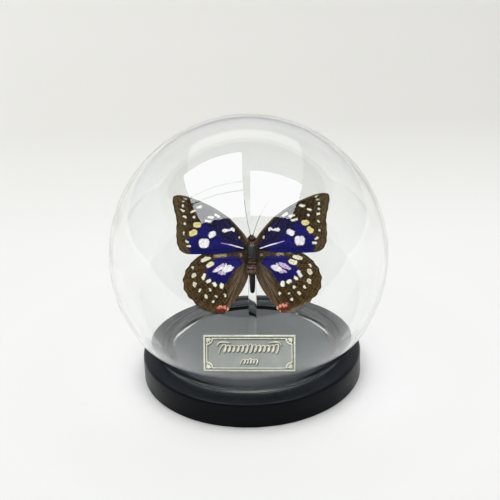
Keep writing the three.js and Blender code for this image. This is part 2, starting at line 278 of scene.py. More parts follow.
class Finish:
    """A material with its Principled shader and short ways to add nodes."""

    def __init__(self, name, **values):
        self.material = bpy.data.materials.new(name)
        self.material.use_nodes = True
        self.nodes = self.material.node_tree.nodes
        self.links = self.material.node_tree.links
        self.shader = self.nodes["Principled BSDF"]
        self.place = self.nodes.new("ShaderNodeTexCoord").outputs["Object"]
        for socket, value in values.items():
            self.shader.inputs[socket.replace("_", " ")].default_value = value

    def link(self, value, socket):
        """Joins an output to a socket, or sets the socket to a plain value."""
        if isinstance(value, bpy.types.NodeSocket):
            self.links.new(value, socket)
        else:
            socket.default_value = value

    def stretched(self, scale, turn=(0, 0, 0)):
        """Object coordinates in millimetres, scaled along each axis and turned."""
        node = self.nodes.new("ShaderNodeMapping")
        node.inputs["Scale"].default_value = [s / MM for s in scale]
        node.inputs["Rotation"].default_value = turn
        self.links.new(self.place, node.inputs["Vector"])
        return node.outputs["Vector"]

    def noise(self, size, detail=3.0, roughness=0.55, scale=(1, 1, 1), turn=(0, 0, 0)):
        """Cloudy noise whose spots are about `size` millimetres across."""
        node = self.nodes.new("ShaderNodeTexNoise")
        node.inputs["Scale"].default_value = 1 / size
        node.inputs["Detail"].default_value = detail
        node.inputs["Roughness"].default_value = roughness
        self.links.new(self.stretched(scale, turn), node.inputs["Vector"])
        return node.outputs["Fac"]

    def along(self, axis):
        """The place along one axis of the piece, in millimetres."""
        node = self.nodes.new("ShaderNodeSeparateXYZ")
        self.links.new(self.stretched((1, 1, 1)), node.inputs["Vector"])
        return node.outputs[axis]

    def from_axis(self):
        """The distance from the upright middle line of the object, in millimetres."""
        node = self.nodes.new("ShaderNodeVectorMath")
        node.operation = "LENGTH"
        self.links.new(self.stretched((1, 1, 0)), node.inputs[0])
        return node.outputs["Value"]

    def spread(self, value, low, high, new_low=0.0, new_high=1.0):
        """Stretches the range low..high of a value to new_low..new_high, clamped."""
        node = self.nodes.new("ShaderNodeMapRange")
        for socket, number in zip(node.inputs[1:5], (low, high, new_low, new_high)):
            self.link(number, socket)
        self.links.new(value, node.inputs["Value"])
        return node.outputs["Result"]

    def mix(self, share, first, second, blend="MIX"):
        """Mixes two colours by a share from 0 to 1."""
        node = self.nodes.new("ShaderNodeMix")
        node.data_type = "RGBA"
        node.blend_type = blend
        self.link(share, node.inputs["Factor"])
        self.link(first, node.inputs[COLOUR_A])
        self.link(second, node.inputs[COLOUR_B])
        return node.outputs[MIXED_COLOUR]

    def attribute(self, name):
        """The colour that the mesh keeps at its own points."""
        node = self.nodes.new("ShaderNodeAttribute")
        node.attribute_name = name
        return node.outputs["Color"]

    def bump(self, height, depth, strength=1.0):
        """Raises the surface by up to `depth` millimetres where height is 1."""
        node = self.nodes.new("ShaderNodeBump")
        node.inputs["Distance"].default_value = depth * MM
        node.inputs["Strength"].default_value = strength
        self.links.new(height, node.inputs["Height"])
        self.links.new(node.outputs["Normal"], self.shader.inputs["Normal"])

    def set(self, **sockets):
        """Gives the shader's sockets plain values or the outputs of other nodes."""
        for socket, value in sockets.items():
            self.link(value, self.shader.inputs[socket.replace("_", " ")])

    def paint(self, piece):
        piece.data.materials.clear()
        piece.data.materials.append(self.material)


def shade(red, green, blue):
    """A colour from its sRGB values of 0 to 255, as the linear colour that shaders want."""
    def linear(value):
        value /= 255
        return value / 12.92 if value <= 0.04045 else ((value + 0.055) / 1.055) ** 2.4
    return (linear(red), linear(green), linear(blue), 1.0)


# %% [markdown]
# ## The room
#
# Glass and black lacquer show little colour of their own: what is seen is the room in them. So the
# studio comes before the pieces. It starts with a sheet of pale paper as the table and an even
# grey room. Shade is painted into the paper: it is a little greyer close to the globe and towards
# the back, most on the right, as if less light fell there, which gives the picture its depth.

# %% Table
TABLE_SIZE = 6000
# Painted shade in the paper's colour: greyer round the globe, and greyer at the back, most on the
# right.
PAPER_SHADE_AT_GLOBE = (0.80, 0.792, 0.772, 1)
PAPER_SHADE_AT_GLOBE_CLOUD = (0.815, 0.806, 0.786, 1)
OPEN_PAPER = (0.975, 0.968, 0.946, 1)
PAPER_SHADE_BACK_LEFT = (0.875, 0.866, 0.826, 1)
PAPER_SHADE_BACK_RIGHT = (0.77, 0.762, 0.726, 1)
OPEN_FROM, OPEN_AT = 75, 150
BACK_FROM, BACK_AT = 165, 360
SIDE_REACH = 300

deselect_all()
bpy.ops.mesh.primitive_plane_add(size=TABLE_SIZE * MM, location=(0, 0, 0))
table = named("table")
paper = Finish("table_paper", Roughness=0.9, Specular_IOR_Level=0.0)
# The paper's painted shade: greyer near the globe and towards the back.
painted_shade_at_globe = paper.mix(paper.noise(220, detail=1), PAPER_SHADE_AT_GLOBE, PAPER_SHADE_AT_GLOBE_CLOUD)
outward = paper.spread(paper.from_axis(), OPEN_FROM, OPEN_AT)
sheet_with_painted_shade = paper.mix(outward, painted_shade_at_globe, OPEN_PAPER)
to_the_right = paper.spread(paper.along("X"), -SIDE_REACH, SIDE_REACH)
painted_shade_at_back = paper.mix(to_the_right, PAPER_SHADE_BACK_LEFT, PAPER_SHADE_BACK_RIGHT)
to_the_back = paper.spread(paper.along("Y"), BACK_FROM, BACK_AT)
paper.set(Base_Color=paper.mix(to_the_back, sheet_with_painted_shade, painted_shade_at_back))
paper.paint(table)
print("table:", TABLE_SIZE, "mm wide")

# %% Even light of the room
ROOM_BRIGHTNESS = 0.12
ROOM_COLOUR = (0.97, 1.0, 1.0, 1)
world = bpy.data.worlds.new("room")
world.use_nodes = True
room_light = world.node_tree.nodes["Background"]
room_light.inputs["Color"].default_value = ROOM_COLOUR
room_light.inputs["Strength"].default_value = ROOM_BRIGHTNESS
scene.world = world
print("room light:", ROOM_BRIGHTNESS)

# %% [markdown]
# ### Lights
#
# A studio light does two jobs: it lights surfaces, and it is mirrored in them. Here nearly every
# light does one of them, so that each can be placed without changing the other. All are area
# lights, rectangles that face a point, and the camera never sees one itself.
#
# - The cool softboxes overhead are only mirrored. They are the two bright panes on the globe, and
#   the narrow strip between two gaps makes the fold across the left pane.
# - The backdrop behind the table is only mirrored too. The canopy is mirrored and is also seen
#   through the glass.
# - The ceiling light is never mirrored. It is very wide and lights paper and pieces evenly.
# - A pale card on each side does both and draws a soft line along the globe's sides.

# %% An area light
WHITE = (1, 1, 1)


def softbox(name, centre, target, width, depth, radiance, colour=WHITE, unseen_by=()):
    """A rectangle of light facing a target, as bright as a white card of that radiance."""
    light = bpy.data.lights.new(name, "AREA")
    light.shape = "RECTANGLE"
    light.size = width * MM
    light.size_y = depth * MM
    light.energy = radiance * math.pi * light.size * light.size_y
    light.color = colour
    lamp = bpy.data.objects.new(name, light)
    away = (Vector(centre) - Vector(target)).normalized()
    turn = away.to_track_quat("Z", "Y").to_matrix().to_4x4()
    lamp.matrix_world = Matrix.Translation(Vector(centre) * MM) @ turn
    for ray in ("camera", *unseen_by):
        setattr(lamp, f"visible_{ray}", False)
    scene.collection.objects.link(lamp)
    return lamp


# %% Softboxes overhead
CEILING = 1000
SOFTBOX_BRIGHTNESS = 8.2
COOL_LIGHT = (0.88, 0.93, 1.0)
for name, x, y, width, depth in (
    ("left_softbox_front", -408, -437, 745, 406),
    ("left_softbox_middle", -408, -157, 745, 106),
    ("left_softbox_back", -408, 156, 745, 484),
    ("right_softbox", 385, -280, 670, 690),
):
    softbox(
        name, (x, y, CEILING), (x, y, 0), width, depth, SOFTBOX_BRIGHTNESS, COOL_LIGHT,
        unseen_by=("transmission", "diffuse"),
    )
    print(name, width, "by", depth, "mm")

# %% Side cards, ceiling light, backdrop and canopy
CARD_BRIGHTNESS = 0.3
CEILING_BRIGHTNESS = 0.94
BACKDROP_BRIGHTNESS = 0.9
CANOPY_BRIGHTNESS = 0.75
for name, x in (("left_card", -1300), ("right_card", 1300)):
    softbox(name, (x, 300, 400), (0, 0, 300), 1000, 800, CARD_BRIGHTNESS)
ceiling_fill = softbox(
    "ceiling_fill", (-800, 1200, 1200), (-800, 1200, 0), 6000, 6000, CEILING_BRIGHTNESS,
    unseen_by=("transmission", "glossy"),
)
softbox(
    "backdrop", (0, 2500, 1150), (0, 0, 300), 7000, 2400, BACKDROP_BRIGHTNESS,
    unseen_by=("transmission", "diffuse"),
)
softbox(
    "canopy", (0, 850, 1190), (0, 850, 0), 1700, 1700, CANOPY_BRIGHTNESS,
    unseen_by=("diffuse",),
)
# Cycles finds a lamp by aiming at it and by rays that meet it by chance, and shares its light
# between the two. A chance ray from under the globe leaves it as a glass ray, which doesn't see
# this lamp, and its share would be lost there. So the whole light is found by aiming.
ceiling_fill.data.cycles.use_multiple_importance_sampling = False

# %% [markdown]
# ### A dark card
#
# A black lacquered edge looks black only where it mirrors something dark, so in a studio there is a
# black card in front of the table. This one is there for mirroring surfaces alone. It is hidden
# from the camera and from soft light, and it is clear for a ray that hasn't been mirrored yet:
# "Glossy Depth" counts the mirrorings, and 0 of them gives an alpha of 0. So it isn't seen through
# the glass.

# %% Dark card in front of the table
CARD_EDGE = 225
CARD_HEIGHT = 1
CARD_BLACK = (0.04, 0.04, 0.04, 1)
CARD_GREY = (0.06, 0.06, 0.06, 1)
deselect_all()
bpy.ops.mesh.primitive_plane_add(size=1)
dark_card = named("dark_card")
dark_card.scale = (TABLE_SIZE * MM, TABLE_SIZE / 2 * MM, 1)
dark_card.location = (0, -(CARD_EDGE + TABLE_SIZE / 4) * MM, CARD_HEIGHT * MM)
put_in_place(dark_card)
dark_card.visible_camera = False
dark_card.visible_diffuse = False
dark_card.visible_shadow = False
card_paint = Finish("dark_card", Roughness=0.9)
card_paint.set(Base_Color=card_paint.mix(card_paint.noise(200, detail=1), CARD_BLACK, CARD_GREY))
mirrorings = card_paint.nodes.new("ShaderNodeLightPath").outputs["Glossy Depth"]
card_paint.set(Alpha=card_paint.spread(mirrorings, 0, 1))
card_paint.paint(dark_card)
print("dark card starts", CARD_EDGE, "mm in front of the middle")

# %% [markdown]
# ### The camera's response
#
# A camera doesn't record light in a straight line. It deepens the shadows a little and rounds the
# brightest tones off before pure white. The curve below does that: each pair is light in and light
# out, and light up to twice white still fits under it.

# %% Response of the camera
BRIGHTEST = 2.0
RESPONSE = [
    (0, 0), (0.02, 0.012), (0.06, 0.05), (0.13, 0.128), (0.3, 0.32), (0.5, 0.53),
    (0.7, 0.72), (0.9, 0.895), (1.0, 0.95), (1.12, 0.965), (BRIGHTEST, 0.975),
]
scene.view_settings.use_curve_mapping = True
response = scene.view_settings.curve_mapping
response.clip_max_x = BRIGHTEST
response.use_clip = True
tone = response.curves[3]
tone.points[0].location = RESPONSE[0]
tone.points[1].location = RESPONSE[-1]
for pair in RESPONSE[1:-1]:
    tone.points.new(*pair)
response.update()
print(len(tone.points), "points on the response curve")

# %% [markdown]
# ## The base
#
# The base is a disc of wood, turned on a lathe, with a rounded upper edge, a ring groove for the
# glass and a hole for the rod, finished in black lacquer. A cylinder gives the disc, insetting its
# top twice gives the ring of the groove, and a bevel rounds the edges. The hole is cut with a
# boolean, as a drill would.

# %% Turned disc with its groove
BASE_RADIUS = 60
BASE_HEIGHT = 14.6
BASE_SIDES = 256
TOP_EDGE = 1.6
BOTTOM_EDGE = 1.0
GROOVE_OUTER = 48.0
GROOVE_INNER = 42.65
GROOVE_DEPTH = 1.0
LIP_EDGE = 0.2

deselect_all()
bpy.ops.mesh.primitive_cylinder_add(
    vertices=BASE_SIDES,
    radius=BASE_RADIUS * MM,
    depth=BASE_HEIGHT * MM,
    location=(0, 0, BASE_HEIGHT / 2 * MM),
    end_fill_type="NGON",
)
base = named("base")
put_in_place(base)
edit("EDGE")
pick("EDGE", lambda e: at_height(e, BASE_HEIGHT))
bpy.ops.mesh.bevel(offset=TOP_EDGE * MM, segments=6, affect="EDGES")
pick("EDGE", lambda e: at_height(e, 0))
bpy.ops.mesh.bevel(offset=BOTTOM_EDGE * MM, segments=4, affect="EDGES")
pick("FACE", lambda f: f.normal.z > 0.99 and at_height(f, BASE_HEIGHT) and len(f.verts) > 4)
bpy.ops.mesh.inset(thickness=(BASE_RADIUS - TOP_EDGE - GROOVE_OUTER) * MM)
bpy.ops.mesh.inset(thickness=(GROOVE_OUTER - GROOVE_INNER) * MM)
finish_edit()
print("insets on the base's top:", [GROOVE_OUTER, GROOVE_INNER])


# %% Ring groove
def on_groove_ring(face):
    """True for the faces between the two insets."""
    distances = [from_middle(v) for v in face.verts]
    return (
        face.normal.z > 0.99
        and len(face.verts) == 4
        and min(distances) > GROOVE_INNER - 0.5
        and max(distances) < GROOVE_OUTER + 0.5
    )


def on_groove_lip(edge):
    """True for the edges where the groove's two walls meet the top."""
    first, second = (from_middle(v) for v in edge.verts)
    off_lip = min(abs(first - GROOVE_OUTER), abs(first - GROOVE_INNER))
    return abs(first - second) < 0.01 and off_lip < 0.05 and at_height(edge, BASE_HEIGHT)


edit("FACE")
print("groove faces:", pick("FACE", on_groove_ring))
bpy.ops.mesh.extrude_region_move(TRANSFORM_OT_translate={"value": (0, 0, -GROOVE_DEPTH * MM)})
pick("EDGE", on_groove_lip)
bpy.ops.mesh.bevel(offset=LIP_EDGE * MM, segments=2, affect="EDGES")
finish_edit()

# %% Drilled hole for the rod
ROD_RADIUS = 2.25
ROD_LEAN = math.radians(1.6)
ROD_FOOT_X = 0.3
HOLE_GAP = 0.3
HOLE_DEPTH = 6
hole_turn = Matrix.Rotation(ROD_LEAN, 4, "Y")
deselect_all()
bpy.ops.mesh.primitive_cylinder_add(
    vertices=64,
    radius=(ROD_RADIUS + HOLE_GAP) * MM,
    depth=2 * HOLE_DEPTH * MM,
    location=(ROD_FOOT_X * MM, 0, BASE_HEIGHT * MM),
    rotation=(0, ROD_LEAN, 0),
)
drill = named("drill")
modify(base, "BOOLEAN", operation="DIFFERENCE", object=drill, solver="EXACT")
bpy.data.objects.remove(drill)
smooth(base, 35)
print("base:", triangles(base), "triangles, hole", 2 * (ROD_RADIUS + HOLE_GAP), "mm wide")

# %% [markdown]
# ## Black lacquer on wood
#
# Lacquer over near-black stain is dark with a soft gloss, so its colour is almost nothing and its
# reflection does the work. Faint grain, clouds in the roughness and a little dust break that
# reflection up, as on any real turned piece. The floor inside the globe is a lighter satin grey.
# The change hides in the groove, so it only needs the distance from the middle line.

# %% Lacquer
STAIN = (0.0015, 0.0025, 0.0045, 1)
STAIN_LIGHT = (0.0035, 0.005, 0.008, 1)
SATIN = (0.056, 0.059, 0.06, 1)
DUST = (0.05, 0.053, 0.056, 1)
lacquer = Finish("black_lacquer", Specular_IOR_Level=0.18)
grain = lacquer.noise(1.6, detail=4, scale=(0.12, 1, 1))
dust = lacquer.noise(0.7, detail=6, roughness=0.7)
black = lacquer.mix(grain, STAIN, STAIN_LIGHT)
speck = lacquer.spread(dust, 0.62, 0.8, 0.0, 0.35)
inside = lacquer.spread(lacquer.from_axis(), GROOVE_OUTER - 1, GROOVE_INNER - 2)
satin = lacquer.mix(inside, black, SATIN)
lacquer.set(
    Base_Color=lacquer.mix(speck, satin, DUST),
    Roughness=lacquer.spread(lacquer.noise(9, detail=3), 0.3, 0.7, 0.28, 0.38),
)
lacquer.bump(grain, 0.015, 0.25)
lacquer.paint(base)
stand_for(base, "base")

# %% [markdown]
# ## The globe
#
# Blown glass this size is a thin shell, and light bends at both its walls, so both are modelled:
# two spheres, one inside the other, each cut off at the rim's height. Where the foot was melted
# round, glass has gathered: the inner wall swells inwards there, and a rolled bead runs round the
# outside. The inner sphere is turned over so that its faces look into the globe. Bridging the two
# cut circles makes the rim, and a bevel rounds its outer edge, as a flame would.

# %% Cut spheres
GLOBE_RADIUS = 75
GLASS_WALL = 2
FOOT_RADIUS = 47.7
GLOBE_CENTRE = BASE_HEIGHT + math.sqrt(GLOBE_RADIUS**2 - FOOT_RADIUS**2)
GROOVE_GAP = 0.3
RIM_HEIGHT = BASE_HEIGHT - GROOVE_DEPTH + GROOVE_GAP


def cut_sphere(radius):
    """A sphere about the globe's centre, open below the rim's height."""
    deselect_all()
    bpy.ops.mesh.primitive_uv_sphere_add(
        segments=192,
        ring_count=128,
        radius=radius * MM,
        location=(0, 0, GLOBE_CENTRE * MM),
    )
    sphere = named("globe")
    put_in_place(sphere)
    edit("VERT")
    cut_level(RIM_HEIGHT, clear_inner=True)
    finish_edit()
    return sphere


globe = cut_sphere(GLOBE_RADIUS)
inner = cut_sphere(GLOBE_RADIUS - GLASS_WALL)
print("globe's centre at", round(GLOBE_CENTRE, 1), "mm, rim at", RIM_HEIGHT, "mm")

# %% Rolled bead outside
BEAD_RADIUS = 1.5
BEAD_REACH = 49.9
BEAD_HEIGHT = 16.2


def move_out_to(vertex, reach):
    """Moves a point level, to a new distance from the middle line."""
    factor = reach / from_middle(vertex)
    vertex.co.x *= factor
    vertex.co.y *= factor


bead_cuts = np.linspace(BEAD_HEIGHT - BEAD_RADIUS, BEAD_HEIGHT + BEAD_RADIUS, 24)
activate(globe)
edit("EDGE")
for height in (bead_cuts[0] - 0.02, *bead_cuts):
    cut_level(height)
finish_edit()
for vertex in globe.data.vertices:
    off_bead = vertex.co.z / MM - BEAD_HEIGHT
    if abs(off_bead) < BEAD_RADIUS + 0.001:
        across = math.sqrt(max(0, BEAD_RADIUS**2 - off_bead**2))
        move_out_to(vertex, max(from_middle(vertex), BEAD_REACH + across))
print("bead reaches", BEAD_REACH + BEAD_RADIUS, "mm from the middle")

# %% Swollen foot inside
FOOT_TOP = 18.2
FOOT_SWELL = 1.7
activate(inner)
edit("EDGE")
for height in np.arange(RIM_HEIGHT + 0.5, FOOT_TOP, 0.45):
    cut_level(height)
finish_edit()
for vertex in inner.data.vertices:
    height = vertex.co.z / MM
    if height < FOOT_TOP:
        share = (FOOT_TOP - height) / (FOOT_TOP - RIM_HEIGHT)
        swell = FOOT_SWELL * math.sin(math.pi / 2 * min(1, 1.5 * share)) ** 2
        move_out_to(vertex, from_middle(vertex) - swell)
turn_over(inner)
print("foot swells by", FOOT_SWELL, "mm below", FOOT_TOP, "mm")

# %% Rim between the two walls
RIM_ROUND = 0.7


def on_outer_rim(edge):
    """True for the edges where the flat rim meets the outer wall."""
    ways = [face.normal.z for face in edge.link_faces]
    return at_height(edge, RIM_HEIGHT) and min(ways) < -0.99 and max(ways) > -0.99


join(globe, [inner])
edit("EDGE")
pick("EDGE", lambda e: e.is_boundary)
bpy.ops.mesh.bridge_edge_loops()
print("rim edges:", pick("EDGE", on_outer_rim))
bpy.ops.mesh.bevel(offset=RIM_ROUND * MM, segments=4, affect="EDGES")
finish_edit()
smooth(globe, 40)

# %% [markdown]
# ## Clear glass
#
# Glass needs no trick: full transmission, its real index of refraction, and a colour that is a
# touch green, which adds up along the walls. A very low, wide bump gives the slight sweep of blown
# glass. A path tracer counts glass as blocking every ray that aims at a lamp. Real glass lets
# nearly all of that light through, so the globe casts no shadow of its own, and what stands in it
# is lit.

# %% Clear glass
clear_glass = Finish(
    "clear_glass",
    Transmission_Weight=1.0,
    IOR=1.5,
    Roughness=0.0,
    Base_Color=(0.985, 0.995, 0.988, 1),
)
clear_glass.bump(clear_glass.noise(38, detail=1), 0.02, 0.35)
clear_glass.paint(globe)
globe.visible_shadow = False
stand_for(globe, "globe")

# %% [markdown]
# ## The rod
#
# The rod is clear acrylic, cut on the slant where the butterfly's thorax is glued to it. So the
# butterfly's own frame is needed first: its place, how far it leans back and how it is rolled. The
# rod is a cylinder, cut with one bisect in the plane of that seat, and its rims get the small
# bevel of a sawn and polished end. Acrylic bends light a little less than glass, and like the
# globe the rod casts no shadow.

# %% The specimen's own frame
SPECIMEN = (1.9, -2.9, 75.7)
SPECIMEN_TILT = math.radians(24)
SPECIMEN_ROLL = math.radians(-1.1)
SEAT_DEPTH = 3.6
specimen = Matrix.Translation(Vector(SPECIMEN) * MM) @ (
    Euler((math.pi / 2 - SPECIMEN_TILT, 0, 0)).to_matrix().to_4x4()
    @ Euler((0, 0, SPECIMEN_ROLL)).to_matrix().to_4x4()
)
wing_normal = specimen.to_3x3() @ Vector((0, 0, 1))
seat_point = specimen @ Vector((0, 0, -SEAT_DEPTH * MM))
print("wings face", [round(v, 3) for v in wing_normal])


def place_specimen(local):
    """Points of the specimen's frame in millimetres, as places in the scene."""
    return local * MM @ np.array(specimen.to_3x3()).T + np.array(specimen.translation)


# %% Slanted rod
ROD_FOOT = BASE_HEIGHT - HOLE_DEPTH + HOLE_GAP
ROD_LONG = 90
ROD_EDGE = 0.15
deselect_all()
bpy.ops.mesh.primitive_cylinder_add(
    vertices=96,
    radius=ROD_RADIUS * MM,
    depth=ROD_LONG * MM,
    location=(0, 0, ROD_LONG / 2 * MM),
)
rod = named("rod")
put_in_place(rod)
rod.matrix_world = Matrix.Translation(Vector((ROD_FOOT_X, 0, ROD_FOOT)) * MM) @ hole_turn
put_in_place(rod)
edit("VERT")
bpy.ops.mesh.select_all(action="SELECT")
bpy.ops.mesh.bisect(
    plane_co=seat_point,
    plane_no=wing_normal,
    clear_outer=True,
    use_fill=True,
)
pick("EDGE", lambda e: any(len(f.verts) > 4 for f in e.link_faces))
bpy.ops.mesh.bevel(offset=ROD_EDGE * MM, segments=3, affect="EDGES")
finish_edit()
smooth(rod, 35)
print("rod's top at", round(max(v.co.z for v in rod.data.vertices) / MM, 1), "mm")

# %% Clear acrylic
acrylic = Finish(
    "clear_acrylic",
    Transmission_Weight=1.0,
    IOR=1.49,
    Roughness=0.02,
    Base_Color=(0.96, 0.975, 0.965, 1),
)
acrylic.bump(acrylic.noise(3, detail=2, scale=(1, 1, 0.15)), 0.01, 0.3)
acrylic.paint(rod)
rod.visible_shadow = False
stand_for(rod, "rod")

# %% [markdown]
# ## The wings
#
# A dried wing is a stiff membrane, thinner than paper, stretched between veins and covered with
# scales. It is cut by its margin and spreads like a fan from its root. So each wing starts as a
# flat grid whose points are moved into such a fan: the grid's columns become rays from the root to
# the margin, and its rows become rings. Veins are raised a little above the membrane, and Solidify
# gives it its small thickness.
#
# All wing lengths are in the specimen's own frame: x runs out from the body to either wing tip, y
# along the body to the head and z out of the wings' upper side.

# %% Outlines of the wings
FOREWING_ROOT = (1.2, 2.2)
FOREWING_OUTLINE = [
    (1.2, 4.3), (2.5, 6.7), (4.4, 9.5), (6.8, 12.4), (9.4, 15.3), (12.1, 18), (14.8, 20),
    (18.6, 22.6), (23.4, 25.3), (28.2, 27.4), (33.2, 29.3), (37, 30.2), (40.2, 30.1), (41.8, 28.6),
    (41.5, 24.9), (40.7, 20.9), (39.9, 16.8), (40.1, 12.2), (40.2, 8.5), (39.9, 4.8),
    (38.7, 1.4), (36.2, -0.7), (32.7, -1.4), (24.7, -1.5), (17.3, -1.2), (9.9, -0.6),
    (4.4, 0), (1.2, 0.4),
]
HINDWING_ROOT = (1.5, -4.6)
HINDWING_OUTLINE = [
    (1.5, -1.8), (3.6, -0.6), (7.5, 0.3), (14, 1), (21, 0.4), (27.3, -1.8), (31.4, -4.8),
    (34.4, -8.2), (36.4, -12.2), (37.1, -15.8), (36.7, -19.4), (35.6, -22.4), (33, -25.6),
    (29.9, -28.5), (26.6, -31), (23.1, -32.7), (18.9, -33.6), (15.2, -33.5), (13.2, -32),
    (11.6, -29.2),
    (9.5, -26.5), (7, -23.6), (4.6, -19.8), (2.8, -16), (2, -13), (1.6, -10), (1.5, -7),
]


def smooth_line(points, count):
    """Evenly spaced points on a smooth curve through the given ones."""
    knots = np.array([points[0], *points, points[-1]], dtype=float)
    knots[0] = 2 * knots[1] - knots[2]
    knots[-1] = 2 * knots[-2] - knots[-3]
    t = np.linspace(0, 1, 24, endpoint=False)[:, None]
    spans = []
    for a, b, c, d in zip(knots, knots[1:], knots[2:], knots[3:]):
        spans.append(0.5 * (2 * b + (c - a) * t + (2 * a - 5 * b + 4 * c - d) * t**2
                            + (3 * b - a - 3 * c + d) * t**3))
    curve = np.vstack([*spans, knots[-2:-1]])
    steps = np.linalg.norm(np.diff(curve, axis=0), axis=1)
    length = np.concatenate([[0], np.cumsum(steps)])
    even = np.linspace(0, length[-1], count)
    return np.stack([np.interp(even, length, curve[:, k]) for k in range(curve.shape[1])], axis=1)


# %% Scalloped margins
def scalloped(outline, root, count, first, last, scallops, depth):
    """The outline with its outer margin drawn in between the veins."""
    margin = smooth_line(outline, count)
    along = (np.linspace(0, 1, count) - first) / (last - first)
    wave = depth * np.cos(2 * math.pi * scallops * along) * ((along > 0) & (along < 1))
    away = margin - np.array(root)
    return margin + away / np.linalg.norm(away, axis=1)[:, None] * wave[:, None]


MARGIN_POINTS = 1200
forewing_margin = scalloped(
    FOREWING_OUTLINE, FOREWING_ROOT, MARGIN_POINTS, first=0.42, last=0.68, scallops=7, depth=0.15,
)
hindwing_margin = scalloped(
    HINDWING_OUTLINE, HINDWING_ROOT, MARGIN_POINTS, first=0.31, last=0.7, scallops=8, depth=0.3,
)
print("forewing reaches", forewing_margin.max(axis=0).round(1))

# %% [markdown]
# ## Measuring on the wing
#
# Veins and markings are all described as strokes: short lines of (x, y, half width) points, like
# dabs of a round brush. The distance from any point of the wing to a stroke then says whether the
# point lies in it, and how close it is to its edge. Broad areas are outlines, measured likewise.

# %% Distances to strokes and areas
def stroke_distance(points, stroke):
    """Distance to a brush stroke's edge in millimetres, negative inside it."""
    stroke = [np.array(dab, dtype=float) for dab in stroke]
    nearest = np.full(len(points), np.inf)
    for a, b in zip(stroke, stroke[1:] or stroke):
        span = b[:2] - a[:2]
        share = np.clip((points - a[:2]) @ span / max(span @ span, 1e-9), 0, 1)
        gap = np.linalg.norm(points - a[:2] - share[:, None] * span, axis=1)
        nearest = np.minimum(nearest, gap - a[2] - (b[2] - a[2]) * share)
    return nearest


def area_distance(points, corners):
    """Distance to the edge of a closed area, negative inside it."""
    corners = np.array(corners, dtype=float)
    edge = stroke_distance(points, [(x, y, 0) for x, y in [*corners, corners[0]]])
    inside = np.zeros(len(points), dtype=bool)
    for (ax, ay), (bx, by) in zip(corners, np.roll(corners, -1, axis=0)):
        crosses = (ay > points[:, 1]) != (by > points[:, 1])
        reach = (bx - ax) * (points[:, 1] - ay) / np.where(by == ay, 1e-9, by - ay) + ax
        inside ^= crosses & (points[:, 0] < reach)
    return np.where(inside, -edge, edge)


def cover(distance, softness):
    """1 inside, 0 outside, and a soft step of the given width at the edge."""
    share = np.clip(0.5 - distance / softness, 0, 1)
    return share * share * (3 - 2 * share)


def ripple(points, size, seed):
    """A smooth uneven pattern between about -1 and 1, always the same for one seed."""
    draw = np.random.default_rng(seed)
    total = np.zeros(len(points))
    for _ in range(9):
        direction = draw.normal(size=points.shape[1])
        wave = 2 * math.pi / size * draw.uniform(0.6, 1.5)
        turn = draw.uniform(0, 2 * math.pi)
        total += np.sin(points @ (direction / np.linalg.norm(direction)) * wave + turn)
    return total / 4.5


# %% [markdown]
# ## Veins
#
# A forewing's veins leave a long closed cell and run out to the margin. The hindwing's cell is
# short. Each vein is a thin stroke that narrows towards the margin.

# %% Vein strokes
FOREWING_VEINS = [
    [(3.2, 4.3), (7.5, 10.2), (13.5, 16.8), (21.5, 22.6), (30, 27)],
    [(3.2, 3.6), (8.5, 8.8), (14.5, 13.8), (18.2, 16.2)],
    [(14.5, 14.3), (20, 19.5), (28, 24.6), (36, 29.2)],
    [(18.2, 16.2), (24, 20.6), (33, 25.2), (41.4, 28.6)],
    [(18.6, 16), (27, 20.9), (34.5, 23.6), (41.6, 25.8)],
    [(18.9, 15.2), (27, 18.9), (34, 20.8), (41, 23.2)],
    [(19, 14.2), (26, 16.3), (33, 17), (40.6, 20.3)],
    [(18.7, 12.8), (25, 14.4), (32.5, 12.7), (40, 16.6)],
    [(17.6, 10.4), (23.5, 11.6), (28.5, 11.8), (34, 8), (40.2, 12.2)],
    [(13, 7.4), (19, 7.2), (25.2, 7.4), (32, 7.2), (40.2, 7.9)],
    [(3.2, 2.8), (8, 5.1), (13, 7.4), (17.6, 10.4), (18.7, 12.8), (18.9, 15.2), (18.2, 16.2)],
    [(3.2, 1.5), (12, 1.2), (24, 1.2), (39.2, 2.6)],
]
HINDWING_VEINS = [
    [(4, -3.4), (12, -1.2), (22, -1.9), (30, -4)],
    [(4.4, -4.2), (12, -5), (19, -4.7), (26, -6.3), (34.4, -8.4)],
    [(12.8, -6.4), (20, -9), (27.5, -9.8), (36.6, -12.6)],
    [(14.4, -8.4), (19.5, -12), (27.4, -15.4), (36.9, -17.6)],
    [(14, -10.4), (18.2, -15.2), (25.2, -19), (34.8, -23.4)],
    [(13.4, -11), (17.8, -17.6), (23.6, -22.4), (30.8, -27.6)],
    [(11.6, -11.2), (14.6, -16.6), (19.8, -22), (25.6, -31.2)],
    [(8.4, -9.4), (11.6, -15.8), (15.4, -22.6), (20.4, -33)],
    [(5.6, -7.4), (8.6, -15.6), (12.2, -24.4), (16, -33.2)],
    [(4.2, -8), (5.6, -14.5), (9, -22.6), (12.6, -31)],
    [(4.4, -4.2), (12, -5), (12.8, -6.4), (14.4, -8.4), (14, -10.4), (11.6, -11.2),
     (8.4, -9.4), (4.2, -5.4)],
]
VEIN_HALF_WIDTH = 0.16
print(len(FOREWING_VEINS), "veins in a forewing,", len(HINDWING_VEINS), "in a hindwing")


def vein_distance(points, veins):
    """Distance to the middle of the nearest vein."""
    nearest = np.full(len(points), np.inf)
    for vein in veins:
        line = smooth_line(vein, 14)
        nearest = np.minimum(nearest, stroke_distance(points, [(x, y, 0) for x, y in line]))
    return nearest


# %% [markdown]
# ## Painting the upper side
#
# The scales make every colour of the wing: dark brown ground, a violet blue field towards the
# body, and white and yellow marks between the veins. The colour of each point of the grid is
# worked out from the strokes and areas and kept as a colour attribute, which follows the wing's
# surface and needs no picture. A real insect's two sides are never quite alike, so the left and
# the right marks are listed apart.

